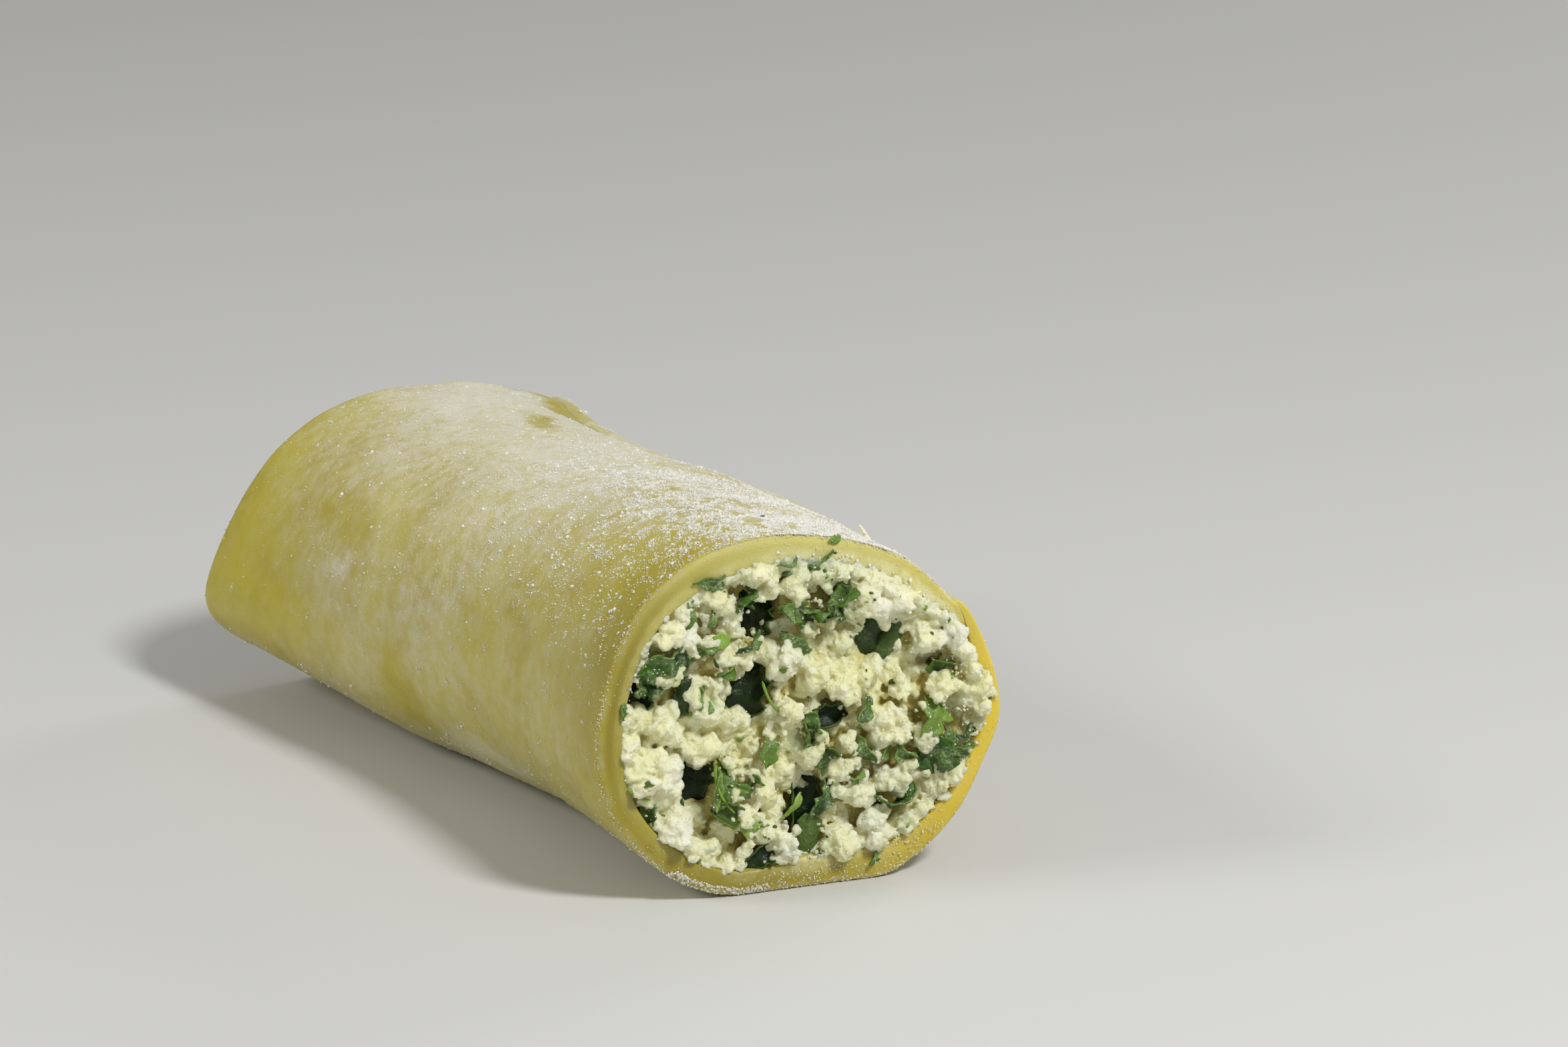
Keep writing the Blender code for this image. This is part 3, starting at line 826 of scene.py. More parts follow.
def spread_out(rng, end, spacing, count, margin=0.5 * MM):
    """Random places on the end that keep a distance from each other and from the pasta."""
    trials = rng.uniform(-18 * MM, 18 * MM, (count, 2))
    reach = end.wall(np.column_stack([trials, np.zeros(count)])) - margin
    trials = trials[np.hypot(*trials.T) < reach]
    kept = trials[:1]
    for trial in trials[1:]:
        if np.min(np.sum((kept - trial) ** 2, axis=1)) > spacing ** 2:
            kept = np.concatenate([kept, [trial]])
    return kept


class Relief:
    """Heights of one end's curds on a square grid, so that lumps can be laid on each other."""

    def __init__(self, end, hollows, leaves):
        self.end = end
        line = np.arange(-GRID_REACH, GRID_REACH, GRID_STEP)
        across, up = np.meshgrid(line, line, indexing="ij")
        self.places = np.stack([across, up, 0 * up], axis=-1)
        flat = self.places.reshape(-1, 3)
        share = np.hypot(flat[:, 0], flat[:, 1]) / end.wall(flat)
        ground = FIRM_LEVEL + 0.4 * MM * (1 - share ** 2) + 0.6 * MM * layered_noise(flat, 2.6 * MM, 22)
        ground = ground + 1.2 * MM * smooth_step(0.84, 0.98, share)
        self.hollow = np.zeros(len(flat))
        for x, y, depth, size in hollows:
            away = np.hypot(flat[:, 0] - x * MM, flat[:, 1] - y * MM)
            ground = np.minimum(ground, -depth * MM * bell(away, 0, 1.15 * size * MM))
            self.hollow = np.maximum(self.hollow, np.clip(1.3 - away / (size * MM), 0, 1))
        self.leaf = np.zeros(len(flat))
        leaf_level = np.full(len(flat), -9 * MM)
        for kind, x, y, out, length, width, spin, _pale in leaves:
            turn = math.radians(spin)
            east, north = flat[:, 0] - x * MM, flat[:, 1] - y * MM
            lengthways = (east * math.cos(turn) + north * math.sin(turn)) / (0.5 * length * MM)
            crossways = (north * math.cos(turn) - east * math.sin(turn)) / (0.5 * width * MM)
            away = np.hypot(lengthways, crossways)
            self.leaf = np.maximum(self.leaf, np.clip(1.15 - away, 0, 1))
            below = (out - 0.4) * MM - (1.2 * MM if kind == "cup" else 0)
            ground = np.where(away < 1.0, np.minimum(ground, below), ground)
            leaf_level = np.where(away < 1.1, np.maximum(leaf_level, out * MM), leaf_level)
        self.ground = ground.reshape(across.shape)
        self.top = self.ground.copy()
        self.leaf_level = leaf_level.reshape(across.shape)
        self.hollow = self.hollow.reshape(across.shape)
        self.leaf = self.leaf.reshape(across.shape)

    def cell(self, across, up):
        last = len(self.top) - 1
        column = np.clip(np.rint((np.asarray(across) + GRID_REACH) / GRID_STEP).astype(int), 0, last)
        row = np.clip(np.rint((np.asarray(up) + GRID_REACH) / GRID_STEP).astype(int), 0, last)
        return column, row

    def lay(self, across, up, radius, out=None, rise=0.0):
        """Adds one lump, at a height of its own or on what lies there, and gives its centre."""
        if out is None:
            columns, rows = self.cell(across + radius * np.array([0, 0.5, -0.5, 0, 0]),
                                      up + radius * np.array([0, 0, 0, 0.5, -0.5]))
            out = np.mean(self.top[columns, rows]) + rise * radius
        reach = int(radius / GRID_STEP) + 1
        column, row = self.cell(across, up)
        window = (slice(max(column - reach, 0), column + reach + 1), slice(max(row - reach, 0), row + reach + 1))
        spots = self.places[window]
        under = np.maximum(radius ** 2 - (spots[..., 0] - across) ** 2 - (spots[..., 1] - up) ** 2, 0)
        self.top[window] = np.where(under > 0, np.maximum(self.top[window], out + np.sqrt(under)), self.top[window])
        return across, up, out

    def smoothed(self, reach):
        """Heights averaged over squares of a size."""
        half = int(reach / GRID_STEP)
        level = self.top
        for axis in (0, 1):
            shifted = [np.roll(level, step, axis=axis) for step in range(-half, half + 1)]
            level = sum(shifted) / len(shifted)
        return level


# Loose lumps: how many, smallest and largest radius in mm, how far they stand up as shares
# of the radius, the margin they keep to the pasta in mm, and how finely they are made.
LOOSE_LUMPS = (
    (150, 0.60, 1.10, -0.60, 0.05, 0.3, 3),
    (700, 0.25, 0.50, -0.50, 0.15, 0.1, 2),
    (3600, 0.11, 0.22, -0.35, 0.30, -0.15, 1),
)
BESIDE_PASTA = 560
WIPED = 600


def crumbly_curds(rng, end, relief, curds):
    """Clumps of curd made of broken lumps, with smaller and smaller ones laid over them."""
    parts, centres, radii = [], [], []
    for across, up, out, radius in curds:
        for _ in range(2 + int(2.2 * radius)):
            way = rng.normal(size=3) * np.array([1.0, 1.0, 0.45])
            shift = way / np.linalg.norm(way) * rng.uniform(0.25, 0.62) * radius
            x, y, z = (across, up, out - 0.25) + shift
            size = radius * rng.uniform(0.42, 0.74) * MM
            centres.append(relief.lay(x * MM, y * MM, size, z * MM))
            radii.append(size)
    parts.append(scatter(rng, centres, radii, 3, 0.3, 0.3, 4))

    # A broken row of lumps presses against the pasta.
    angle = rng.uniform(0, TURN, BESIDE_PASTA)
    radii = rng.uniform(0.2, 0.5, BESIDE_PASTA) * MM
    flat = np.column_stack([np.cos(angle), np.sin(angle), 0 * angle])
    reach = end.wall(flat) - radii * rng.uniform(-0.1, 2.2, BESIDE_PASTA)
    places = flat[:, :2] * reach[:, None]
    clear = relief.hollow[relief.cell(places[:, 0], places[:, 1])] < 0.3
    centres = [relief.lay(x, y, radius, None, -0.3) for (x, y), radius in zip(places[clear], radii[clear])]
    parts.append(scatter(rng, centres, radii[clear], 2, 0.3, 0.3, 3))

    # Crumbs are wiped over the inner edge of the pasta, most of all along its top.
    angle = rng.normal(math.radians(62), math.radians(75), WIPED)
    radii = rng.uniform(0.08, 0.26, WIPED) * MM
    flat = np.column_stack([np.cos(angle), np.sin(angle), 0 * angle])
    reach = end.wall(flat) + rng.uniform(-0.35, 0.5, WIPED) * MM
    level = np.where(reach > end.wall(flat), -0.55 * radii, -0.8 * radii)
    centres = np.column_stack([flat[:, :2] * reach[:, None], level])
    parts.append(scatter(rng, centres, radii, 1, 0.3, 0.3, 2))

    relief.top = np.maximum(relief.top, relief.leaf_level)
    for count, small, large, low, high, margin, subdivisions in LOOSE_LUMPS:
        places = spread_out(rng, end, 0.9 * small * MM, 3 * count, margin * MM)
        columns, rows = relief.cell(places[:, 0], places[:, 1])
        chance = (1 - relief.hollow[columns, rows]) * (1 - 0.95 * np.minimum(1.8 * relief.leaf[columns, rows], 1))
        places = places[rng.uniform(0, 1, len(places)) < chance][:count]
        radii = rng.uniform(small, large, len(places)) * MM
        rises = rng.uniform(low, high, len(places))
        centres = [relief.lay(x, y, radius, None, rise) for (x, y), radius, rise in zip(places, radii, rises)]
        parts.append(scatter(rng, centres, radii, subdivisions, 0.3, 0.3, 2))
    return joined(parts)


def firm_mass(relief):
    """Disc of pressed filling behind the loose curds, lowered at the hollows and under leaves."""
    rings, spokes = 64, 200
    reach, angle = np.meshgrid(np.linspace(0, 1, rings), np.linspace(0, TURN, spokes, endpoint=False), indexing="ij")
    flat = np.column_stack([np.cos(angle).ravel(), np.sin(angle).ravel(), np.zeros(angle.size)])
    front = flat * (relief.end.wall(flat) * reach.ravel())[:, None]
    front[:, 2] = relief.ground[relief.cell(front[:, 0], front[:, 1])]
    back = front.copy()
    back[:, 2] = -PLUG_DEPTH
    faces = grid_faces(rings, spokes, True)
    count = len(front)
    rim = (rings - 1) * spokes + np.arange(spokes)
    skirt = np.stack([rim, np.roll(rim, -1), np.roll(rim, -1) + count, rim + count], axis=-1)
    quads = np.concatenate([faces, faces[:, ::-1] + count, skirt])
    triangles = np.concatenate([quads[:, [0, 1, 2]], quads[:, [0, 2, 3]]])
    return np.concatenate([front, back]), triangles


def crumble(curd, end):
    """Grainy relief of broken curd on the skin that shows."""
    points = coordinates(curd)
    shown = smooth_step(-4.8 * MM, -4.2 * MM, end.local(points)[:, 2])
    crisp = 0.65 + 0.35 * value_noise(points, 2.5 * MM, 14)
    lift = 0.22 * MM * (packed_bumps(points, 0.9 * MM, 5) - 0.65)
    lift += 0.20 * MM * crisp * (packed_bumps(points, 0.42 * MM, 6) - 0.65)
    lift += 0.06 * MM * value_noise(points, 0.24 * MM, 7)
    move_to(curd, points + normals(curd) * (lift * shown)[:, None])


def without_hidden_sides(piece, end, material):
    """The same piece with plain faces at its back and beside the pasta, out of sight."""
    points = coordinates(piece)
    faces = np.empty(len(piece.data.loops), np.int32)
    piece.data.loops.foreach_get("vertex_index", faces)
    faces = faces.reshape(-1, 4)
    local = end.local(points)
    beside = np.hypot(local[:, 0], local[:, 1]) > end.wall(local) - 0.35 * MM
    hidden = (local[:, 2] < 0.25 * MM - PLUG_DEPTH) | (beside & (local[:, 2] < -HIDDEN_DEPTH))
    faces = faces[~np.all(hidden[faces], axis=1)]

    # Edges with a face on one side only are joined to their copies on the plane of the back.
    count = len(points)
    starts, stops = faces.ravel(), np.roll(faces, -1, axis=1).ravel()
    open_edge = ~np.isin(starts * count + stops, stops * count + starts)
    starts, stops = starts[open_edge], stops[open_edge]
    local[:, 2] = -PLUG_DEPTH
    back = end.world(local)
    centre = end.world([[0, 0, -PLUG_DEPTH]])
    skirt = np.stack([stops, starts, starts + count, stops + count], axis=-1)
    cap = np.stack([stops + count, starts + count, np.full(len(starts), 2 * count)], axis=-1)
    everything = np.concatenate([points, back, centre])
    used = np.zeros(len(everything), bool)
    for group in (faces, skirt, cap):
        used[group] = True
    place = np.cumsum(used) - 1
    groups = [place[group].tolist() for group in (faces, skirt, cap)]
    mesh = bpy.data.meshes.new(piece.name)
    mesh.from_pydata(everything[used].tolist(), [], groups[0] + groups[1] + groups[2])
    mesh.shade_smooth()
    mesh.materials.append(material)
    piece.data = mesh


def make_curds(name, end, curds, hollows, leaves, voxel, kept, seed, material):
    """The crumbly mass at one end, joined into one skin and then roughened."""
    rng = np.random.default_rng(seed)
    relief = Relief(end, hollows, leaves)
    vertices, faces = joined([firm_mass(relief), crumbly_curds(rng, end, relief, curds)])
    beyond = end.wall(vertices) - SHEET_CLEARANCE
    away = np.hypot(vertices[:, 0], vertices[:, 1])
    held = vertices[:, 2] < -0.1 * MM
    pull = np.where(held & (away > beyond), beyond / np.maximum(away, 1e-9), 1.0)
    vertices[:, :2] *= pull[:, None]
    curd = mesh_object(name, end.world(vertices), faces, material)

    skin = curd.modifiers.new("one_skin", "REMESH")
    skin.mode = "VOXEL"
    skin.voxel_size = voxel
    soften = curd.modifiers.new("soften", "SMOOTH")
    soften.factor = 0.5
    soften.iterations = 2
    apply_modifiers(curd)
    without_hidden_sides(curd, end, material)
    crumble(curd, end)
    fewer = curd.modifiers.new("fewer", "DECIMATE")
    fewer.ratio = kept
    apply_modifiers(curd)

    points = coordinates(curd)
    local = end.local(points)
    near_leaf = np.zeros(len(points))
    for _kind, across, up, out, length, *_rest in leaves:
        away = np.linalg.norm(local - np.array([across, up, out]) * MM, axis=1)
        near_leaf = np.maximum(near_leaf, bell(away, 0, 0.55 * length * MM))
    tinge = 0.5 + 0.5 * layered_noise(points, 3 * MM, 7)
    paint(curd, "green", np.clip(0.8 * near_leaf * tinge + 0.2 * smooth_step(0.62, 0.9, tinge), 0, 1))
    # Painted shade: the deeper a place lies below the smoothed heights around it, the darker and yellower its curd.
    around = relief.smoothed(0.7 * MM)[relief.cell(local[:, 0], local[:, 1])]
    paint(curd, "crevice_shade", smooth_step(0.0, 1.3 * MM, around - local[:, 2]))
    white = np.zeros(len(points))
    for across, up, radius in WHITE_CURDS:
        away = np.hypot(local[:, 0] - across * MM, local[:, 1] - up * MM)
        white = np.maximum(white, bell(away, 0, radius * MM) * (end.sign > 0))
    paint(curd, "white", 0.8 * white * smooth_step(-2.0 * MM, -1.0 * MM, local[:, 2]))
    return curd


def leaf_patch(rng, length, width, curl, bend, crumple, ribbed):
    """Torn piece of leaf, curled across and bent along its length, lying in XY.
    Gives its vertices, its faces and how pale each vertex is."""
    rows = int(np.clip(length / (0.18 * MM), 5, 32))
    columns = int(np.clip(width / (0.18 * MM), 4, 20)) | 1
    u, v = np.meshgrid(np.linspace(-1, 1, rows), np.linspace(-1, 1, columns), indexing="ij")
    v = np.sign(v) * np.abs(v) ** 1.2
    drift = rng.uniform(0, 1, 3)
    side = np.stack([u * length / 2, 0.02 * np.sign(v), 0 * u], axis=-1) + drift
    tip = np.stack([v * width / 2, 0.02 * np.sign(u), 0 * u + 0.1], axis=-1) + drift
    tear = min(0.5 + 0.5 * crumple, 1.0)
    ragged = 1 + tear * (0.45 * value_noise(side, 0.9 * MM, 8) + 0.42 * value_noise(side, 0.38 * MM, 9))
    reach = 1 + tear * (0.30 * value_noise(tip, 0.8 * MM, 8) + 0.14 * value_noise(tip, 0.40 * MM, 10))
    half = width / 2 * np.maximum((1 - np.abs(u) ** 3) ** 0.5, 0.25) * ragged

    y = half * np.sin(curl * v) / curl
    z = half * (1 - np.cos(curl * v)) / curl
    twist = rng.uniform(-0.4, 0.4) * u
    y, z = y * np.cos(twist) - z * np.sin(twist), y * np.sin(twist) + z * np.cos(twist)
    x = length / 2 * reach * np.sin(bend * u) / bend
    z = z - length / 2 * (1 - np.cos(bend * u)) / bend
    points = np.stack([x, y, z], axis=-1)
    size = min(width, 2.0 * MM)
    for seed, share, scale in ((17, 0.24, 1.2), (18, 0.15, 0.5)):
        for axis, weight in ((0, 0.5), (1, 0.7), (2, 1.0)):
            wrinkle = value_noise(points + drift, scale * MM, seed + 10 * axis)
            points[..., axis] += (0.1 + 0.9 * crumple) * weight * share * size * wrinkle
    rib = ribbed * bell(v * half, 0, 0.10 * MM)
    points[..., 2] += 0.09 * MM * rib
    edge = np.maximum(smooth_step(0.8, 1.0, np.abs(v)), smooth_step(0.92, 1.0, np.abs(u)))
    return points.reshape(-1, 3), grid_faces(rows, columns), np.maximum(0.55 * rib, 0.15 * edge).ravel()


def stem(start, stop, radius):
    """Thin bowed stem between two places, thinner towards its end."""
    rows, spokes = 14, 8
    share, angle = np.meshgrid(np.linspace(0, 1, rows), np.linspace(0, TURN, spokes, endpoint=False), indexing="ij")
    way = (stop - start) / np.linalg.norm(stop - start)
    aside = np.cross(way, [0.0, 0.0, 1.0])
    over = np.cross(aside, way)
    bow = 0.12 * np.linalg.norm(stop - start) * np.sin(math.pi * share)[..., None] * aside
    ends = np.sqrt(np.clip(1 - np.abs(2 * share - 1) ** 12, 0, 1))
    thick = (radius * (1 - 0.45 * share) * ends)[..., None]
    ring = np.cos(angle)[..., None] * aside + np.sin(angle)[..., None] * over
    points = start + share[..., None] * (stop - start) + bow + thick * ring
    return points.reshape(-1, 3), grid_faces(rows, spokes, True)


def make_leaves(name, groups, material):
    """All the spinach as one piece: each group is an end and its leaves."""
    rng = np.random.default_rng(31)
    vertices, faces, paleness, filmed_unshaded, first = [], [], [], [], 0
    for end, leaves in groups:
        for kind, across, up, out, length, width, spin, pale in leaves:
            tilt, sway, curl, bend, crumple, ribbed = LEAF_KINDS[kind]
            points, quads, markings = leaf_patch(rng, LEAF_SPREAD * length * MM, LEAF_SPREAD * width * MM, curl, bend, crumple, ribbed)
            tilt, sway = np.radians(rng.normal((tilt, sway), 9))
            turn = Euler((tilt, sway, math.radians(spin)), "XYZ").to_matrix()
            points = points @ np.array(turn).T + np.array([across, up, out]) * MM
            vertices.append(end.world(points))
            faces.append(quads + first)
            first += len(points)
            paleness.append(np.clip(markings + pale, 0, 1))
            # 1 for leaves filmed with curd; cups get 0, no film and the painted near-black shade of their pockets, and
            # hoods 0.3, part of that darkening.
            filmed_unshaded.append(np.full(len(points), {"cup": 0.0, "hood": 0.3}.get(kind, 1.0)))
    leaves = mesh_object(name, np.concatenate(vertices), np.concatenate(faces), material)
    paint(leaves, "pale", np.concatenate(paleness))
    paint(leaves, "filmed_unshaded", np.concatenate(filmed_unshaded))
    solid = leaves.modifiers.new("thickness", "SOLIDIFY")
    solid.thickness = 0.13 * MM
    solid.offset = 0.0
    apply_modifiers(leaves)
    return leaves


def make_stems(name, groups, material):
    parts = []
    for end, stems in groups:
        for x0, y0, z0, x1, y1, z1, radius in stems:
            points, quads = stem(np.array([x0, y0, z0]) * MM, np.array([x1, y1, z1]) * MM, radius * MM)
            parts.append((end.world(points), quads))
    stems = mesh_object(name, *joined(parts), material)
    paint(stems, "pale", np.full(len(stems.data.vertices), 0.8))
    return stems


def random_leaves(rng, end, count):
    """Spinach for the end that isn't described leaf by leaf."""
    leaves = []
    kinds = ("shred", "flat", "cup", "shred", "hood", "shred", "ribbed", "flat")
    for number, (across, up) in enumerate(spread_out(rng, end, 2.3 * MM, 900)[:count]):
        length = rng.uniform(1.4, 4.0)
        kind = kinds[number % len(kinds)]
        out = rng.uniform(-0.5, 0.2) - (0.8 if kind == "cup" else 0)
        width = length * rng.uniform(0.4, 0.8)
        leaves.append((kind, across / MM, up / MM, out, length, width, rng.uniform(0, 180), rng.choice([0, 0.1, 0.3])))
    return tuple(leaves)


def random_hollows(rng, end, count):
    hollows = []
    for across, up in spread_out(rng, end, 4.5 * MM, 500)[:count]:
        hollows.append((across / MM, up / MM, rng.uniform(2.5, 4.5), rng.uniform(0.8, 1.5)))
    return tuple(hollows)


def random_curds(rng, end, count):
    curds = []
    for across, up in spread_out(rng, end, 2.6 * MM, 900)[:count]:
        curds.append((across / MM, up / MM, rng.uniform(-1.3, -0.4), rng.uniform(0.8, 1.9)))
    return tuple(curds)


def make_core(material):
    """Plain filling between the two crumbly ends, out of sight inside the sheet."""
    start = PLUG_DEPTH * 0.9 / LENGTH
    rows, spokes = 24, 72
    along, angle = np.meshgrid(np.linspace(start, 1 - start, rows), np.linspace(0, TURN, spokes, endpoint=False),
                               indexing="ij")
    depth = inner_face_depth(along, angle) + 0.1 * MM
    points = roll_points(along, angle, depth)
    swell = 0.1 * MM * value_noise(points, 2 * MM, 10)
    points[..., 0] += swell
    faces = [list(face) for face in grid_faces(rows, spokes, True)[:, ::-1]]
    faces.append(list(range(spokes)))
    faces.append([(rows - 1) * spokes + spoke for spoke in range(spokes)][::-1])
    mesh = bpy.data.meshes.new("filling_core")
    mesh.from_pydata(points.reshape(-1, 3).tolist(), [], faces)
    mesh.materials.append(material)
    core = bpy.data.objects.new("filling_core", mesh)
    bpy.context.scene.collection.objects.link(core)
    for name in ("green", "crevice_shade", "white"):
        paint(core, name, np.zeros(len(mesh.vertices)))
    return core


# ---------------------------------------------------------------- flour, crumbs, flecks

LUMPS_OF_FLOUR = 2600
FINE_GRAINS = 34000
HEAPED_GRAINS = 14500


def floured_places(rng, tries, count, patch_size, seed):
    """Random places on the outside where flour lies, most of them towards the front cut."""
    near = rng.uniform(0, 1, tries) < 0.75
    along = np.where(near, 1 - np.abs(rng.normal(0, 0.27, tries)), rng.uniform(0, 1, tries))
    angle = np.where(near, rng.normal(104, 29, tries), rng.uniform(50, 410, tries))
    on_outside = (along > 0.004) & (along < 0.996) & (angle > 52) & (angle < 405)
    angle = np.radians(angle)
    patch = np.clip(0.40 + 1.5 * layered_noise(on_cylinder(along, angle), patch_size, seed), 0, 1)
    chance = patch * (0.12 + 0.88 * flour_amount(along, angle))
    kept = on_outside & (rng.uniform(0, 1, tries) < chance)
    return along[kept][:count], angle[kept][:count]


def on_dough(along, angle, radii, standing):
    """Centres of grains that stand a share of their radius above the outside."""
    swell = dough_swell(along, angle) + standing * radii
    centres = roll_points(along, angle, sheet_depth(along, angle), swell=swell)
    centres[:, 2] = np.maximum(centres[:, 2], roll_place[2] + 1.4 * radii)
    return centres


def make_flour(material):
    """Loose flour on the pasta: separate grains, lumps, and grains heaped against the lumps."""
    rng = np.random.default_rng(41)
    lump_along, lump_angle = floured_places(rng, 12000, LUMPS_OF_FLOUR, 1.6 * MM, 20)
    count = len(lump_along)
    radii = np.clip(0.066 * MM * np.exp(rng.normal(0, 0.42, count)), 0, 0.16 * MM)
    centres = on_dough(lump_along, lump_angle, radii, 0.2)
    lumps = mesh_object("flour_lumps", *scatter(rng, centres, radii, 1, 0.35, 0.3, 1), material)

    along, angle = floured_places(rng, 150000, FINE_GRAINS, 0.7 * MM, 23)
    beside = rng.integers(0, count, HEAPED_GRAINS)
    heaped_along = lump_along[beside] + rng.normal(0, 0.13 * MM, HEAPED_GRAINS) / LENGTH
    heaped_angle = lump_angle[beside] + rng.normal(0, 0.13, HEAPED_GRAINS) / 15
    along = np.clip(np.concatenate([along, heaped_along]), 0.003, 0.997)
    angle = np.concatenate([angle, heaped_angle])
    count = len(along)
    radii = 0.046 * MM * np.exp(rng.normal(0, 0.34, count))
    centres = on_dough(along, angle, radii, 0.2)
    corners = np.array([[1, 1, 1], [1, -1, -1], [-1, 1, -1], [-1, -1, 1]], float) / math.sqrt(2)
    faces = np.array([[0, 1, 2], [0, 3, 1], [0, 2, 3], [1, 3, 2]])
    shapes = corners[None] * rng.uniform(0.8, 1.25, (count, 4, 1))
    shapes = np.einsum("nij,nvj->nvi", random_turns(rng, count), shapes)
    vertices = (centres[:, None] + shapes * radii[:, None, None]).reshape(-1, 3)
    grains = (faces[None] + (np.arange(count) * 4)[:, None, None]).reshape(-1, 3)
    return lumps, mesh_object("flour_grains", vertices, grains, material)


def lip_places(rng, count, low_degrees, high_degrees, low_share, high_share, place=1.0):
    """Random places on a cut face of the sheet, between two angles and two shares of its
    thickness."""
    angle = np.radians(rng.uniform(low_degrees, high_degrees, count))
    share = rng.uniform(low_share, high_share, count)
    around = np.full(count, place)
    thickness = SHEET * inner_growth(around, angle)
    depth = sheet_depth(around, angle) + share * thickness
    points = roll_points(around, angle, depth, swell=dough_swell(around, angle))
    out = (1 - np.minimum(np.abs(2 * share - 1), 1) ** LIP_SQUARENESS) ** (1 / LIP_SQUARENESS)
    points[:, 0] += (out - 1) * CUT_LIP * (1 if place > 0.5 else -1)
    return points


def make_semolina(material):
    """Coarser, glassier grains on the cut rim, in a bank along its lower edge."""
    rng = np.random.default_rng(42)
    bank = lip_places(rng, 320, 242, 277, 0.02, 0.36)
    below = lip_places(rng, 340, 262, 338, 0.05, 0.75)
    strewn = lip_places(rng, 500, 40, 400, 0.05, 0.9)
    right = lip_places(rng, 500, -70, 60, 0.05, 0.8)
    edge = lip_places(rng, 900, 40, 330, -0.02, 0.12)
    rear = lip_places(rng, 400, 50, 400, 0.02, 0.9, 0.0)
    centres = np.concatenate([bank, below, strewn, right, edge, rear])
    sizes = ((0.05, 0.125, 320), (0.03, 0.08, 340), (0.02, 0.05, 500), (0.03, 0.07, 500), (0.02, 0.06, 900),
             (0.02, 0.07, 400))
    radii = np.concatenate([rng.uniform(*size) for size in sizes]) * MM
    centres[:, 0] += 0.3 * radii * np.sign(centres[:, 0])
    centres[:, 2] = np.maximum(centres[:, 2], roll_place[2] + 1.4 * radii)
    vertices, faces = scatter(rng, centres, radii, 1, 0.3, 0.2, 1)
    return mesh_object("semolina_grains", vertices, faces, material)


def on_skin(rng, piece, end, count, deepest):
    """Random places on the outward side of a piece, with the way the skin faces there.
    Clean leaves are left clean."""
    points, facing = coordinates(piece), normals(piece)
    outward = facing[:, 0] * end.sign
    shown = (end.local(points)[:, 2] > deepest) & (outward > 0.15)
    filmed_unshaded = piece.data.attributes.get("filmed_unshaded")
    if filmed_unshaded:
        amount = np.empty(len(points), np.float32)
        filmed_unshaded.data.foreach_get("value", amount)
        shown &= amount > 0.5
    shown = np.flatnonzero(shown)
    chosen = rng.choice(shown, count, replace=False)
    return points[chosen], facing[chosen]


def make_crumbs(ends, curds, leaves, material):
    """Curd crumbs on the curds, on the leaves and stuck to the rim, and a wisp on the crest."""
    rng = np.random.default_rng(43)
    parts = []
    for end, curd in zip(ends, curds):
        for piece, count, large in ((curd, 1300, 0.12), (leaves, 300, 0.09)):
            places, facing = on_skin(rng, piece, end, count, -2.0 * MM)
            radii = rng.uniform(0.04, large, count) * MM
            parts.append(scatter(rng, places - 0.1 * radii[:, None] * facing, radii, 1, 0.5, 0.4, 2))
    rim = lip_places(rng, 60, 10, 130, 0.6, 1.0)
    parts.append(scatter(rng, rim, rng.uniform(0.05, 0.13, 60) * MM, 2, 0.6, 0.6, 3))
    share = np.linspace(0, 1, 30)
    wisp_angle = np.radians(58.0 + 5 * share ** 2)
    wisp_along = 0.84 - 0.006 * share
    wisp = roll_points(wisp_along, wisp_angle, sheet_depth(wisp_along, wisp_angle), swell=(0.95 * share - 0.25) * MM)
    parts.append(scatter(rng, wisp, (0.42 - 0.31 * share ** 0.7) * MM, 2, 0.25, 0.3, 2))
    return mesh_object("curd_crumbs", *joined(parts), material)


def make_specks(name, ends, curds, count, radius, material):
    """Tiny lumps on the curds."""
    rng = np.random.default_rng(45)
    parts = []
    for end, curd in zip(ends, curds):
        places, _facing = on_skin(rng, curd, end, count, -1.8 * MM)
        parts.append(scatter(rng, places, rng.uniform(0.5, 1.3, count) * radius, 2, 0.4, 0.3, 2))
    return mesh_object(name, *joined(parts), material)


def make_dark_speck(material):
    """One broken dark speck among the flour of the crest."""
    rng = np.random.default_rng(46)
    along = 0.893 + rng.normal(0, 0.0018, 7)
    angle = math.radians(105.0) + rng.normal(0, 0.007, 7)
    radii = rng.uniform(0.07, 0.13, 7) * MM
    return mesh_object("dark_speck", *scatter(rng, on_dough(along, angle, radii, 0.5), radii, 2, 0.3, 0.4, 2), material)


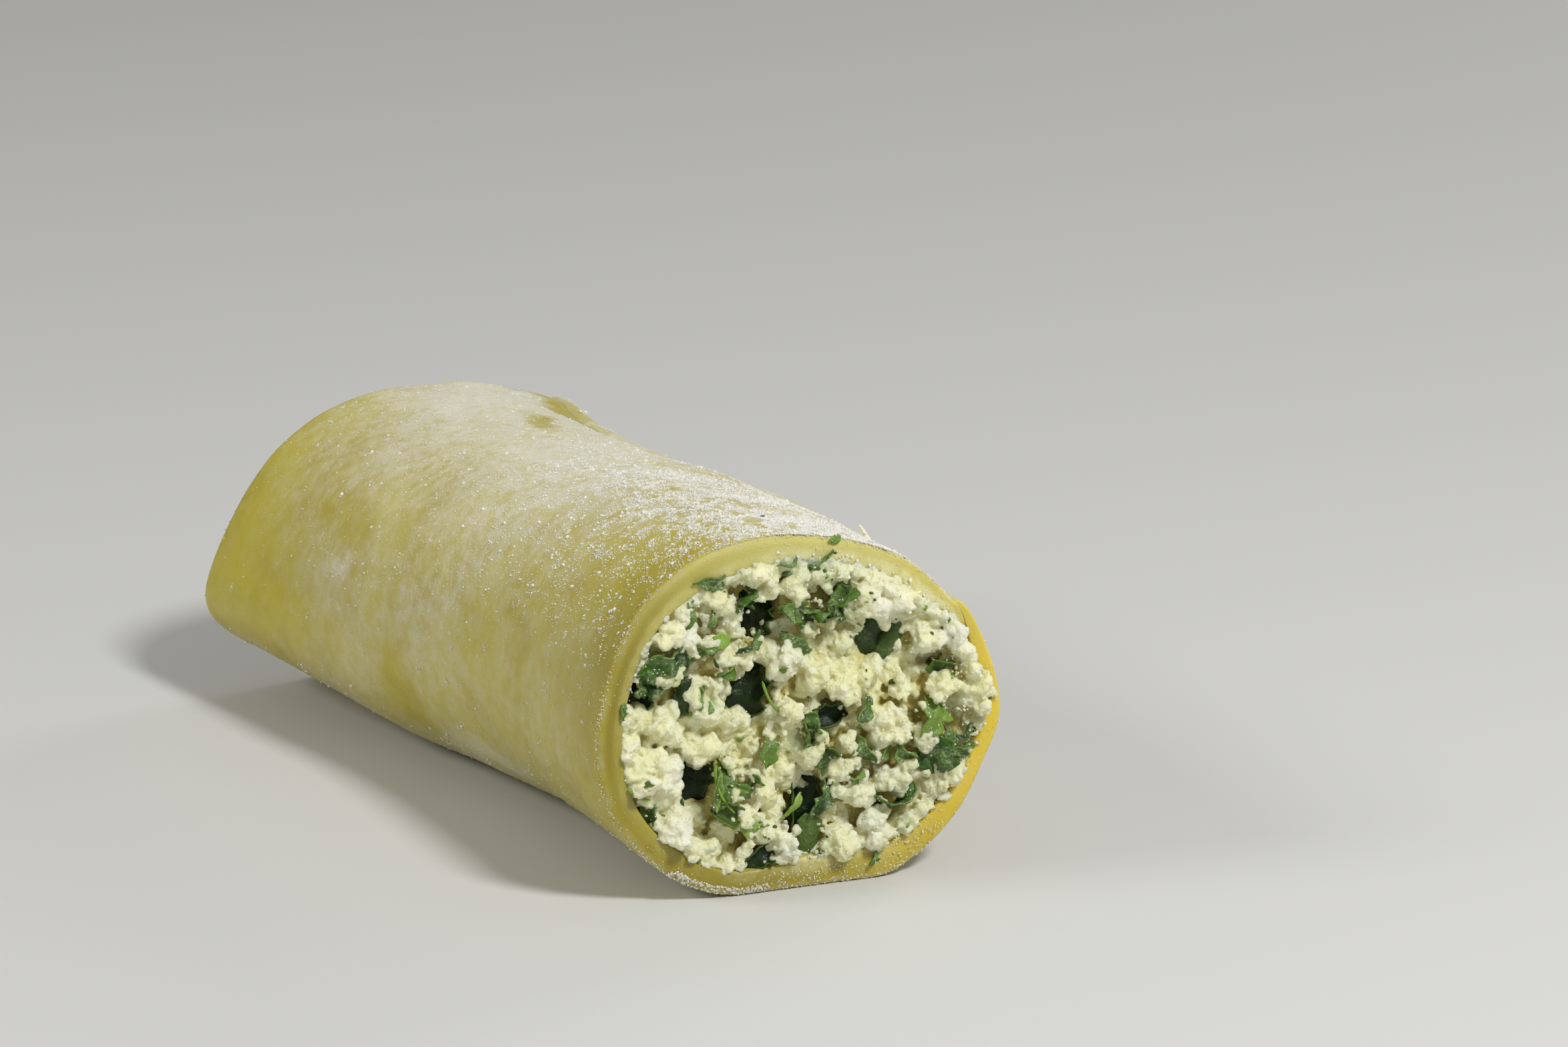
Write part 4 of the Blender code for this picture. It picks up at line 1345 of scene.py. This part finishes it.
def make_flecks(name, ends, curds, count, material):
    """Small shreds of leaf that lie on the curds."""
    rng = np.random.default_rng(44)
    vertices, faces, paleness, first = [], [], [], 0
    for end, curd in zip(ends, curds):
        places, facing = on_skin(rng, curd, end, count, -1.8 * MM)
        for place, way in zip(places, facing):
            length = 0.35 * MM * math.exp(rng.normal(0, 0.45))
            width = length * rng.uniform(0.3, 0.8)
            points, quads, _markings = leaf_patch(rng, length, width, 0.6, 0.4, 0.8, False)
            turn = Vector(way).to_track_quat("Z", "Y").to_matrix()
            tip = Euler((rng.uniform(-0.5, 0.5), rng.uniform(-0.5, 0.5), rng.uniform(0, TURN))).to_matrix()
            vertices.append(place + 0.04 * MM * way + points @ np.array(turn @ tip).T)
            faces.append(quads + first)
            first += len(points)
            paleness.append(np.full(len(points), rng.choice([0.2, 0.45, 0.8])))
    flecks = mesh_object(name, np.concatenate(vertices), np.concatenate(faces), material)
    paint(flecks, "pale", np.concatenate(paleness))
    solid = flecks.modifiers.new("thickness", "SOLIDIFY")
    solid.thickness = 0.07 * MM
    solid.offset = 0.0
    apply_modifiers(flecks)
    return flecks


# ---------------------------------------------------------------- floor, light, camera

VIEW_AZIMUTH = math.radians(61.0)
VIEW_ELEVATION = math.radians(15.0)
CAMERA_DISTANCE = 472.8 * MM
CAMERA_RIGHT = 13.9 * MM
CAMERA_UP = 6.2 * MM
LENS_MM = 137.9
SENSOR_MM = 36.0


def view_axes():
    """Right, up and backward directions of the camera."""
    sin_a, cos_a = math.sin(VIEW_AZIMUTH), math.cos(VIEW_AZIMUTH)
    sin_e, cos_e = math.sin(VIEW_ELEVATION), math.cos(VIEW_ELEVATION)
    right = Vector((cos_a, sin_a, 0))
    up = Vector((-sin_e * sin_a, sin_e * cos_a, cos_e))
    back = Vector((cos_e * sin_a, -cos_e * cos_a, sin_e))
    return right, up, back


def make_camera():
    low, high = CAD_BOX
    right, up, back = view_axes()
    middle = (Vector(low) + Vector(high)) / 2
    data = bpy.data.cameras.new("camera")
    data.lens = LENS_MM
    data.sensor_width = SENSOR_MM
    data.clip_start = 0.01
    camera = bpy.data.objects.new("camera", data)
    bpy.context.scene.collection.objects.link(camera)
    place = middle + back * CAMERA_DISTANCE + right * CAMERA_RIGHT + up * CAMERA_UP
    camera.matrix_world = Matrix.Translation(place) @ Matrix((right, up, back)).transposed().to_4x4()
    bpy.context.scene.camera = camera


def area_light(name, direction, distance, size, power, colour=(1.0, 1.0, 1.0)):
    """Soft light that faces the roll from a direction."""
    data = bpy.data.lights.new(name, "AREA")
    data.shape = "DISK"
    data.size = size
    data.energy = power
    data.color = colour
    light = bpy.data.objects.new(name, data)
    bpy.context.scene.collection.objects.link(light)
    way = Vector(direction).normalized()
    light.location = way * distance
    light.rotation_euler = way.to_track_quat("Z", "Y").to_euler()


def make_stage():
    right, up, back = view_axes()
    ahead = Vector((-back.x, -back.y, 0)).normalized()
    high = Vector((0, 0, 1))
    area_light("key", high * 1.0 + right * 0.6 - ahead * 0.65, 0.6, 0.11, 2.5)
    area_light("fill", -right * 1.0 - ahead * 0.3 + high * 0.7, 0.7, 0.22, 1.5)
    area_light("rim", ahead * 1.0 + right * 0.9 + high * 0.6, 0.8, 0.3, 1.0)

    world = bpy.data.worlds.new("studio")
    world.use_nodes = True
    world.node_tree.nodes["Background"].inputs["Color"].default_value = (1.0, 0.98, 0.94, 1.0)
    world.node_tree.nodes["Background"].inputs["Strength"].default_value = 0.26
    bpy.context.scene.world = world
    bpy.context.scene.view_settings.view_transform = "Standard"

    form = bmesh.new()
    bmesh.ops.create_grid(form, x_segments=1, y_segments=1, size=1.5)
    mesh = bpy.data.meshes.new("floor")
    form.to_mesh(mesh)
    form.free()
    floor = bpy.data.objects.new("floor", mesh)
    bpy.context.scene.collection.objects.link(floor)
    n = Nodes("pale_floor")
    mesh.materials.append(n.finish((0.62, 0.62, 0.60), 0.7))


# ---------------------------------------------------------------- all together


def main():
    pasta = pasta_material()
    curd = curd_material()
    leaf = leaf_material()
    flour = plain_grain_material("flour", (0.86, 0.85, 0.78), 0.9, 0.03 * MM)
    crumb = plain_grain_material("curd_crumb", (0.92, 0.91, 0.66), 0.05)
    semolina = plain_grain_material("semolina", (0.84, 0.80, 0.62), 0.4)
    pepper = plain_grain_material("red_pepper", (0.60, 0.16, 0.02))
    dark_grain = plain_grain_material("dark_grain", (0.10, 0.115, 0.15), 0.0)

    rng = np.random.default_rng(5)
    front, rear = CutEnd(1.0), CutEnd(0.0)
    rear_hollows = random_hollows(rng, rear, 12)
    rear_curds = random_curds(rng, rear, 34)
    rear_leaves = random_leaves(rng, rear, 46)

    sheet = make_sheet(pasta)
    curds_front = make_curds("curds_front", front, FRONT_CURDS, FRONT_HOLLOWS, FRONT_LEAVES, CURD_VOXEL, FRONT_KEPT, 51, curd)
    curds_rear = make_curds("curds_rear", rear, rear_curds, rear_hollows, rear_leaves, REAR_VOXEL, REAR_KEPT, 52, curd)
    core = make_core(curd)
    leaves = make_leaves("spinach_leaves", ((front, FRONT_LEAVES), (rear, rear_leaves)), leaf)
    stems = make_stems("spinach_stems", ((front, FRONT_STEMS),), leaf)
    ends, curds = (front, rear), (curds_front, curds_rear)
    crumbs = make_crumbs(ends, curds, leaves, crumb)
    flecks = make_flecks("spinach_flecks", ends, curds, 80, leaf)
    specks = make_specks("pepper_specks", ends, curds, 14, 0.06 * MM, pepper)
    lumps, grains = make_flour(flour)
    coarse = make_semolina(semolina)
    speck = make_dark_speck(dark_grain)

    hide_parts("pasta_sheet")
    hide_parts("filling")
    on_pasta = (sheet, lumps, grains, coarse, speck)
    in_filling = (curds_front, curds_rear, core, leaves, stems, crumbs, flecks, specks)
    for piece in on_pasta + in_filling:
        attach(piece, "root")
    make_camera()
    make_stage()


main()
